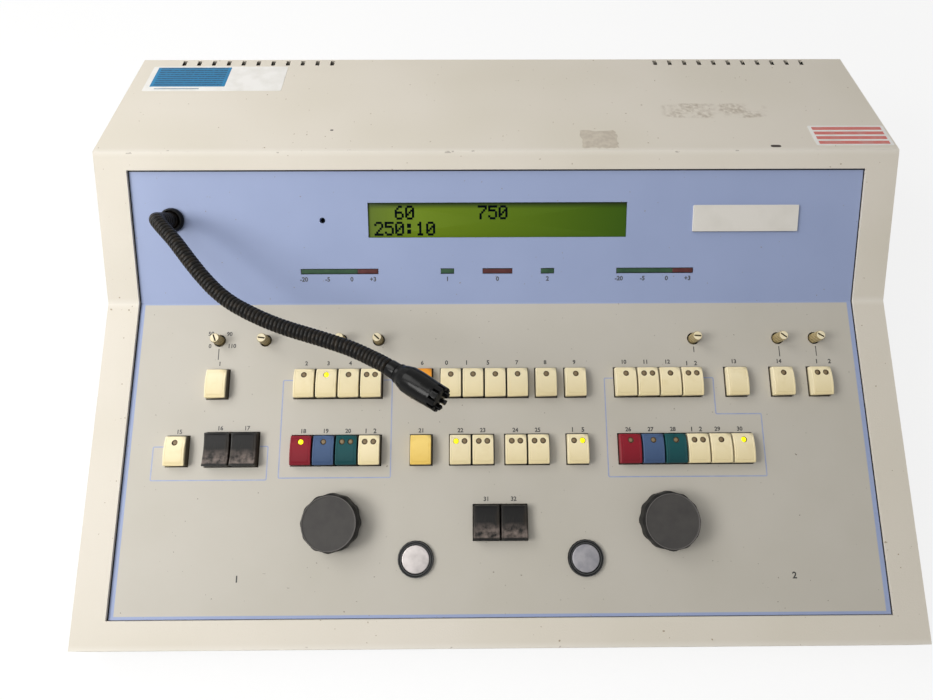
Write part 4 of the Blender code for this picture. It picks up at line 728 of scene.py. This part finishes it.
key_figures = []
for rise, names in KEY_ROWS:
    for item in names.split():
        name, _, count = item.partition(":")
        (x, y), (half_x, half_y) = seat(name, keypad)
        slot, body, spot = slots[name], f"{name}_body", at(keypad, x, y)
        colour = slot.removesuffix("_cap")
        shape = cap(half_x, half_y, colour == "black")
        made = piece(f"{name}_cap", body, [shape], cap_materials[colour], spot, (name,))
        if name not in OWN_FIGURES:
            key_figures.append((str(len(key_figures) + 1), x, y + rise, KEY_FIGURE_HIGH))
        lamps = int(count or 1)
        if lamps == 0:
            continue
        lamp_y = half_y - LAMP_FROM_BACK
        floor = float(crown(lamp_y, half_y, colour == "black")) - LAMP_WELL - 0.02
        lamps_x = (np.arange(lamps) - (lamps - 1) / 2) * LAMP_SPREAD
        points, faces = turned(((0, floor), (LAMP_RADIUS, floor), (LAMP_RADIUS, floor + 4), (0, floor + 4)), 20)
        wells = [(points + (lamp_x, lamp_y, 0), faces) for lamp_x in lamps_x]
        carve(made, piece(name + "_wells", "case", wells, cap_materials[colour], spot), well_shade)
        for k, lamp_x in enumerate(lamps_x):
            resin = lamp_lit if LIT.get(name) == k else lamp_off
            place = at(spot, lamp_x, lamp_y, floor)
            piece(f"{name}_lamp_{k + 1}", body, [lens], resin, place)
piece("key_figures", "case", figures(key_figures), legend_ink, keypad)

# Touch buttons
# Two pads of nickel-plated brass, spun fine and slightly domed, each in a glossy black moulded ring.
# The right pad is painted darker, as painted shade.
RIGHT_SHADE_REACH = 23.35
TOUCH_PROFILE = eased(
    ((0, -7.8), (3.9, -7.8), (3.9, -2.6), (7.7, -2.6), (7.7, 1.15), (7.2, 1.4), (3.5, 1.52), (0, 1.56)), 0.25
)
RING_PROFILE = eased(
    ((8.02, -2.0), (9.68, -2.0), (9.68, 1.4), (9.2, 1.84), (8.45, 1.84), (8.02, 1.4), (8.02, -2.0)), 0.25
)

# Plated brass with a fine turned finish: bright, and streaked in circles
nickel = finish("turned_nickel_plate", 0.42, 0.5, 0.9)
rings = {"W": from_middle(nickel), "Scale": 5.0, "Detail": 3.0}
rings = add(nickel, "TexNoise", rings, noise_dimensions="1D")
patina = mottle(nickel, 4, 0.35, 0.75)
# Painted shade: the right pad takes darker copies of the plate's colours
right_pad_shade = past(nickel, case, 0, 0.0, RIGHT_SHADE_REACH)
lit_plate = coats(nickel, "#B0AAA8", (patina, "#9B9694"))
shaded_plate = coats(nickel, "#908E91", (patina, "#7C7B80"))
grained(nickel, coats(nickel, lit_plate, (right_pad_shade, shaded_plate)), rings, 0.02, 0.25)
# Moulded black phenolic ring: glossy
gloss_black = soiled("glossy_black_moulding", "#0D0D0D", "#181818", 3, 0.45, 0.8, 0.25, 0.12)
for name in ("touch_button_left", "touch_button_right"):
    spot = at(keypad, *seat(name, keypad)[0])
    piece(name + "_pad", name + "_body", [turned(TOUCH_PROFILE, 96)], nickel, spot, (name,))
    piece(name + "_ring", "case", [turned(RING_PROFILE, 96)], gloss_black, spot)

# Level dials
# Two wide dials moulded in matt dark grey plastic with twelve finger lobes round the side, pressed
# on the encoder shafts; the flat top has a raised rim with a painted highlight, and the sides carry painted
# shade.
DIAL_LOBES, LOBE_DEPTH, LOBE_FROM, LOBE_TOP, DIAL_TOP = 12, 0.6, 14.6, 11.3, 11.4
DIAL_PROFILE = eased(
    ((0, -7.8), (3.0, -7.8), (3.0, 0.8), (15.2, 0.8), (16.0, 1.6), (15.9, 9.2), (15.1, 11.1))
    + ((14.7, 11.7), (14.35, 11.7), (14.1, 11.45), (13.6, DIAL_TOP), (0, DIAL_TOP)),
    0.35,
)


def finger_lobes(angle, radius, height):
    """What the hollows take: half of 1 - cos(12 angle), only on the side wall."""
    side = np.clip((radius - LOBE_FROM) / 0.9, 0, 1) * np.clip((LOBE_TOP - height) / 1.2, 0, 1)
    return LOBE_DEPTH * side * ((1 - np.cos(DIAL_LOBES * angle)) / 2)


# Moulded polyamide with a spark-eroded grain: matt, with a painted highlight on the rim and painted shade on
# the sides
dial_plastic = finish("matt_grey_moulding", 0.55, 0.2)
away = from_middle(dial_plastic)
# Painted shade on the sides below the top, and a painted highlight on the rim
top = add(dial_plastic, "MapRange", {0: away, 1: 14.6, 2: 14.2})
rim = add(dial_plastic, "Math", {0: away, 1: 14.5, 2: 0.25}, operation="COMPARE")
top_grey = coats(dial_plastic, "#474543", (mottle(dial_plastic, 7, 0.35, 0.75), "#3F3D3C"))
colour = coats(dial_plastic, "#161616", (top, top_grey), (rim, "#5D5A58"))
grained(dial_plastic, colour, mottle(dial_plastic, 0.7, 0.3, 0.7, 1.0), 0.02, 0.5)
for name in ("level_dial_left", "level_dial_right"):
    grip, spot = turned(DIAL_PROFILE, 240, finger_lobes), at(keypad, *seat(name, keypad)[0])
    piece(name + "_grip", name + "_body", [grip], dial_plastic, spot, (name,))

# Trim spindles
# Seven ivory nylon spindles of the trimmers stand out of their holes, with a fine knurl down the
# side and a screwdriver slot in the end.
SPINDLE_RADIUS, SPINDLE_TOP, SPINDLE_TEETH, KNURL_DEPTH, SLOT_HALF, SLOT_DEPTH = 2.75, 8.2, 20, 0.3, 0.42, 1.0
# How far each slot is turned from across, in degrees
SPINDLE_TURNS = {"assistant_spindle": -70, "lamp_spindle": -8, "calibration_spindle_1": -20}
SPINDLE_TURNS |= {"calibration_spindle_2": -42, "calibration_spindle_3": -4}
SPINDLE_TURNS |= {"talk_back_spindle": -38, "monitor_spindle": -33}
SPINDLE_PROFILE = eased(
    ((0, -7.8), (2, -7.8), (2, -3.6), (SPINDLE_RADIUS, -3.6), (SPINDLE_RADIUS, -3.0))
    + ((SPINDLE_RADIUS, 7.7), (2.45, SPINDLE_TOP), (0, SPINDLE_TOP)),
    0.2,
)


def knurl(angle, radius, height):
    """What the knurl takes: half of 1 - cos(20 angle) between the collar and the rounded end."""
    side = np.clip((radius - 2.5) / 0.2, 0, 1) * np.clip((8.0 - height) / 0.5, 0, 1)
    return KNURL_DEPTH * side * (1 - np.cos(SPINDLE_TEETH * angle)) / 2


# Moulded nylon: ivory, with painted shade on the flanks that is darker in the knurl's grooves
ivory = finish("ivory_nylon", 0.42)
away = from_middle(ivory)
# Painted shade on the flanks, darker in the knurl's grooves
shaded_flank = add(ivory, "MapRange", {0: away, 1: 2.36, 2: 2.46})
dirt = add(ivory, "MapRange", {0: away, 1: 2.74, 2: 2.5})
dirt = add(ivory, "Math", {0: shaded_flank, 1: dirt}, operation="MULTIPLY")
soil = mottle(ivory, 2, 0.4, 0.8)
wire(ivory, Base_Color=coats(ivory, "#EFE3C2", (soil, "#E0D1A6"), (shaded_flank, "#D2C192"), (dirt, "#86724A")))
# The slot's walls: painted shade, dark brown
slot_shade = soiled("spindle_slot_shade", "#4E3F1F", "#3A301C", 1, 0.4, 0.7, 0.8)
for name, turn in SPINDLE_TURNS.items():
    shaft, spot = turned(SPINDLE_PROFILE, 120, knurl), at(keypad, *seat(name, keypad)[0], turn=turn)
    made = piece(name + "_shaft", name + "_body", [shaft], ivory, spot, (name,))
    slot = plate(2.05, SLOT_HALF, 0.3, ((0, SPINDLE_TOP - SLOT_DEPTH), (0, 12.0)))
    carve(made, piece(name + "_slot", "case", [slot], ivory, spot), slot_shade)

# Gooseneck microphone
# A black rubber sleeve moulded in rings over a bending spring runs from a turning socket to a small
# electret microphone in a glossy black head with a slotted crown.
REACH = np.array((159.9, -81.8, 101.6))
# The route's points, given as shares of the reach
ROUTE_SHARES = np.array(
    ((0.0, 0.0, 0.0), (0.0, 0.0, 0.090), (0.0, 0.0, 0.165), (0.013, 0.009, 0.225), (0.044, 0.056, 0.272))
    + ((0.098, 0.148, 0.328), (0.154, 0.261, 0.385), (0.205, 0.363, 0.430), (0.261, 0.458, 0.474))
    + ((0.315, 0.526, 0.510), (0.377, 0.583, 0.544), (0.445, 0.635, 0.577), (0.520, 0.678, 0.614))
    + ((0.600, 0.715, 0.655), (0.692, 0.759, 0.707), (0.743, 0.789, 0.742), (0.785, 0.818, 0.777))
    + ((0.833, 0.851, 0.827), (0.939, 0.944, 0.937), (1.0, 1.0, 1.0))
)
HEAD_LENGTH, ARM_RADIUS, ARM_GROOVE, RIB_PITCH, SOCKET_HEIGHT = 32.0, 4.0, 0.55, 2.2, 3.5
BALL_RADIUS, BALL_RISE = 5.0, 1.5
mic_spot = at(display, *seat("mic_socket", display)[0])


def smooth_route(knots, samples=40):
    """A curve through knots a b c d: b + ((c-a) t + (2a-5b+4c-d) t^2 + (3b-a-3c+d) t^3) / 2 from b to c."""
    k = np.concatenate((2 * knots[:1] - knots[1:2], knots, 2 * knots[-1:] - knots[-2:-1]))
    a, b, c, d = (k[i : len(k) - 3 + i, None] for i in range(4))
    t = np.arange(samples)[None, :, None] / samples
    curve = b + ((c - a) * t + (2 * a - 5 * b + 4 * c - d) * t**2 + (3 * b - a - 3 * c + d) * t**3) / 2
    return np.concatenate((curve.reshape(-1, 3), knots[-1:]))


route = smooth_route(ROUTE_SHARES * REACH)
run = np.concatenate(((0,), np.cumsum(np.linalg.norm(np.diff(route, axis=0), axis=1))))
arm_end = run[-1] - HEAD_LENGTH


def on_route(distance):
    """The points of the route at given distances from its start, and the directions there."""
    steps = (distance, distance + 0.5, distance - 0.5)
    spots, ahead, behind = (np.stack([np.interp(d, run, axis) for axis in route.T], -1) for d in steps)
    return spots, (ahead - behind) / np.linalg.norm(ahead - behind, axis=1, keepdims=True)


def sleeve(distance, radius, sides=28):
    """A tube: at each distance a circle square to the route, its first spoke square to the arm's plane."""
    spots, ways = on_route(distance)
    level = np.array((REACH[1], -REACH[0], 0.0)) / math.hypot(REACH[0], REACH[1])
    across = level - ways * (ways @ level)[:, None]
    across /= np.linalg.norm(across, axis=1, keepdims=True)
    up = np.cross(ways, across)
    angle = np.arange(sides) * 2 * np.pi / sides
    spokes = across[:, None] * np.cos(angle)[None, :, None] + up[:, None] * np.sin(angle)[None, :, None]
    return skin(spots[:, None] + spokes * radius[:, None, None], spots[0], spots[-1])


ribs = int((arm_end - SOCKET_HEIGHT - 2) / RIB_PITCH)
wave = np.abs(np.sin(np.linspace(0, ribs * np.pi, ribs * 10 + 1))) ** 0.6
ribbed = np.linspace(SOCKET_HEIGHT + 1, arm_end - 1, ribs * 10 + 1)
distance = np.concatenate(((0.5, SOCKET_HEIGHT), ribbed, (arm_end - 0.5, arm_end - 0.3)))
step_in = np.concatenate(((0.3, 0.2), ARM_GROOVE * (1 - wave), (0.1, 0.5)))
arm = sleeve(distance, ARM_RADIUS - step_in)
bend = np.radians(np.linspace(15, 126, 9))
ball = np.column_stack((BALL_RADIUS * np.sin(bend), BALL_RISE - BALL_RADIUS * np.cos(bend)))
ball = turned(np.concatenate((((0, BALL_RISE - BALL_RADIUS),), ball, ((0, 4.45),))), 32)
# Moulded rubber sleeve: black with a low sheen, dusty in patches
sleeve_rubber = soiled("ribbed_rubber_sleeve", "#090807", "#2C241A", 2.5, 0.45, 0.75, 0.3, 0.15, detail=5.0)
piece("gooseneck_sleeve", "mic_arm", [arm, ball], sleeve_rubber, mic_spot, ("gooseneck",))

# Polished black moulding of the head and socket: deep black with sharp highlights
mic_gloss = soiled("polished_black_moulding", "#050505", "#0D0C0C", 4, 0.5, 0.8, 0.2, 0.15)
SOCKET_PROFILE = eased(
    ((0, -10.6), (6, -10.6), (6, -8.0), (8, -8.0), (8, -2.3), (6, -2.3), (6, 0.3), (6.95, 0.3))
    + ((6.9, 1.6), (6.3, 3.1), (5.8, SOCKET_HEIGHT), (5.35, SOCKET_HEIGHT), (5.3, 1.0), (0, -3.9)),
    0.4,
)
socket = turned(SOCKET_PROFILE, 72)
piece("mic_socket_dome", "mic_turret", [socket], mic_gloss, mic_spot, ("mic_socket",))
HEAD_PROFILE = eased(
    ((0, 0), (4.2, 0), (4.2, 5.0), (3.8, 5.1), (3.8, 5.6), (4.9, 5.7), (4.95, 7.3), (5.7, 9.2))
    + ((6.5, 12.2), (6.65, 16.5), (6.5, 22.0), (6.2, 26.5), (6.2, 28.3), (4.3, 28.4), (4.3, 30.4), (0, 30.5)),
    0.22,
    3,
)


def crown_teeth(count, share, inner, outer, low, high):
    """Teeth round the crown: each an arc of a ring, out along the outer radius and back along the inner one."""
    half = np.pi / count * share
    teeth = []
    for middle in np.arange(count) * 2 * np.pi / count:
        angle = middle + np.linspace(-half, half, 6)
        sides = ((outer, angle), (inner, angle[::-1]))
        ring = np.concatenate([r * np.column_stack((np.cos(a), np.sin(a))) for r, a in sides])
        rows = []
        for shrink, height in ((0, low), (0, high - 0.3), (0.25, high)):
            edge = ring + (ring.mean(0) - ring) * shrink
            rows.append(np.column_stack((edge, np.full(len(ring), height))))
        teeth.append(skin(rows, rows[0].mean(0), rows[-1].mean(0)))
    return teeth


def stand(x, z, spot):
    """The 4x4 place at a spot in metres with the given x and z axes, made unit length; y is z cross x."""
    x, z = (way / np.linalg.norm(way) for way in (x, z))
    place = np.eye(4)
    place[:3] = np.column_stack((x, np.cross(z, x), z, spot))
    return place


foot = on_route(np.array((arm_end,)))[0][0]
ahead = route[-1] - foot
spot = mic_spot @ stand(np.cross(ahead, (0, 0, 1.0)), ahead, foot * MM)
head = [turned(HEAD_PROFILE, 96), *crown_teeth(10, 0.66, 4.6, 6.15, 28.2, HEAD_LENGTH)]
piece("microphone_body", "mic_arm", head, mic_gloss, spot, ("microphone_head",))

# Rear sockets
# Four jack bushes with hexagon nuts and a mains inlet with three blades are fixed in the rear wall,
# which four screws hold along its top.
REAR_FACE_Y, JACK_Z, JACKS_X = 173.953, 22.9, (5.0, 35.0, 65.0, 95.0)
INLET_X, INLET_Z, BLADE_Y = -150.0, 24.4, 161.0
SCREW_Z, SCREWS_X = 41.0, (-205.0, -68.0, 68.0, 205.0)
rear = np.array(((-1, 0, 0, 0), (0, 0, 1, REAR_FACE_Y * MM), (0, 1, 0, 0), (0, 0, 0, 1.0)))
# Nickel-plated brass nuts: bright with a faint warm cast
nut_plate = soiled("plated_brass_nut", "#C9C4BA", "#A9A296", 2, 0.4, 0.8, 0.3, 0.5, 1.0)
nut = turned(((5.3, 0.05), (7.0, 0.05), (7.0, 1.2), (6.4, 1.45), (5.3, 1.45), (5.3, 0.05)), 6)
for i, x in enumerate(JACKS_X):
    piece(f"jack_nut_{i + 1}", "case", [nut], nut_plate, at(rear, -x, JACK_Z), smooth=20)
# Zinc-plated pan-head screws: domed heads with a cross recess
zinc = soiled("zinc_plated_screw", "#BDBBB4", "#9A968C", 1.5, 0.4, 0.8, 0.38, 0.5, 1.0)
screw = turned(eased(((0, 0), (2.9, 0), (2.9, 0.5), (2.2, 1.35), (0, 1.7)), 0.4), 32)
for i, x in enumerate(SCREWS_X):
    spot = at(rear, -x, SCREW_Z)
    made = piece(f"rear_screw_{i + 1}", "case", [screw], zinc, spot)
    for k, (half_x, half_y) in enumerate(((1.6, 0.32), (0.32, 1.6))):
        bar = plate(half_x, half_y, 0.05, ((0, 0.75), (0, 3.0)))
        carve(made, piece(f"recess_{k}", "case", [bar], zinc, spot))
points, faces = plate(1.0, 2.0, 0.3, ((0, 0), (0, 9.0), (0.4, 9.6)))
blades = [(points + (x, y, 0), faces) for x, y in ((0.0, 3.0), (-7.0, -2.0), (7.0, -2.0))]
piece("inlet_blades", "case", blades, nut_plate, at(rear, -INLET_X, INLET_Z, BLADE_Y - REAR_FACE_Y))

# Floor, light and camera
# A pale table top and backdrop, two soft lamps to the left, a weaker one overhead and a faint
# even surround. The camera stands where the photograph was taken from.
FLOOR_HALF, FADE_FROM, FADE_TO, FLOOR_GLOW, SURROUND = 6.0, 0.35, 1.6, 0.82, 0.29
WHITE, LAMP_WHITE = "#FFFFFF", "#FFFEFB"


def seen(material):
    """1 for camera, glossy and transmission rays, which see the background itself: the largest of the three."""
    rays = [add(material, "LightPath", out=f"Is {kind} Ray") for kind in ("Camera", "Glossy", "Transmission")]
    either = add(material, "Math", {0: rays[0], 1: rays[1]}, operation="MAXIMUM")
    return add(material, "Math", {0: either, 1: rays[2]}, operation="MAXIMUM")


# Matt pale laminate, which fades to plain white further off
floor_paint = soiled("pale_floor", "#FAFAFA", "#F6F6F6", 200, 0.3, 0.8, 0.9)
tree = floor_paint.node_tree
away = add(floor_paint, "VectorMath", {0: add(floor_paint, "TexCoord", out=3)}, 1, operation="LENGTH")
glow = {0: away, 1: FADE_FROM, 2: FADE_TO, 3: FLOOR_GLOW, 4: 1.0}
glow = add(floor_paint, "MapRange", glow, interpolation_type="SMOOTHSTEP")
share = add(floor_paint, "Math", {0: seen(floor_paint), 1: glow}, operation="MULTIPLY")
white = add(floor_paint, "Emission", {"Color": WHITE, "Strength": 1.0})
mixed = add(floor_paint, "MixShader", {0: share, 1: tree.nodes["Principled BSDF"].outputs[0], 2: white})
put(tree, tree.nodes["Material Output"].inputs[0], mixed)
mesh = bpy.data.meshes.new("floor")
corners = [(x * FLOOR_HALF, y * FLOOR_HALF, 0) for x, y in ((-1, -1), (1, -1), (1, 1), (-1, 1))]
mesh.from_pydata(corners, [], [(0, 1, 2, 3)])
mesh.materials.append(floor_paint)
floor = bpy.data.objects.new("floor", mesh)
link(floor)

world = bpy.data.worlds.new("surround")
bpy.context.scene.world = world
world.use_nodes = True
background = world.node_tree.nodes["Background"]
put(world.node_tree, background.inputs["Color"], WHITE)
strength = add(world, "MapRange", {0: seen(world), 3: SURROUND, 4: 1.0})
put(world.node_tree, background.inputs["Strength"], strength)


def lamp(name, spot, size, power):
    """A square area lamp at a spot in metres, which faces the middle of the keypad."""
    light = bpy.data.lights.new(name, "AREA")
    light.size, light.energy, light.color = size, power, linear(LAMP_WHITE)[:3]
    obj = bpy.data.objects.new(name, light)
    back = np.subtract(spot, LAMPS_FACE)
    obj.matrix_world = Matrix(stand(np.cross((0, 1.0, 0.01), back), back, spot).tolist())
    link(obj)


LAMPS_FACE = (0.0, 0.0, 0.06)
lamp("top_light", (-0.35, -0.30, 1.00), 0.8, 2.4)
lamp("front_left_light", (-0.74, -0.30, 0.70), 0.38, 4.8)
lamp("rear_left_light", (-0.68, 0.28, 0.76), 0.5, 3.3)

# The photograph's size, focal length and middle in pixels, and where the camera stood and looked
WIDTH, HEIGHT, FOCAL, CENTRE_X, CENTRE_Y = 933, 700, 638.85, 477.69, 348.06
CAMERA_AT, LOOK_DOWN, LOOK_RIGHT, TILT = (-0.01472, -0.18023, 0.39948), 64.149, 0.975, -0.602
SENSOR = 36.0
pitch, yaw, roll = np.radians((LOOK_DOWN, LOOK_RIGHT, TILT))
forward = np.array((math.sin(yaw) * math.cos(pitch), math.cos(yaw) * math.cos(pitch), -math.sin(pitch)))
level = np.cross(forward, (0, 0, 1.0)) / math.cos(pitch)
right = math.cos(roll) * level + math.sin(roll) * np.cross(forward, level)
camera = bpy.data.objects.new("camera", bpy.data.cameras.new("camera"))
camera.matrix_world = Matrix(stand(right, -forward, CAMERA_AT).tolist())
camera.data.sensor_width = SENSOR
camera.data.lens = FOCAL / WIDTH * SENSOR
camera.data.shift_x = -(CENTRE_X - WIDTH / 2) / WIDTH
camera.data.shift_y = (CENTRE_Y - HEIGHT / 2) / WIDTH
camera.data.clip_start = 0.01
link(camera)
bpy.context.scene.camera = camera
bpy.context.scene.view_settings.view_transform = "Standard"
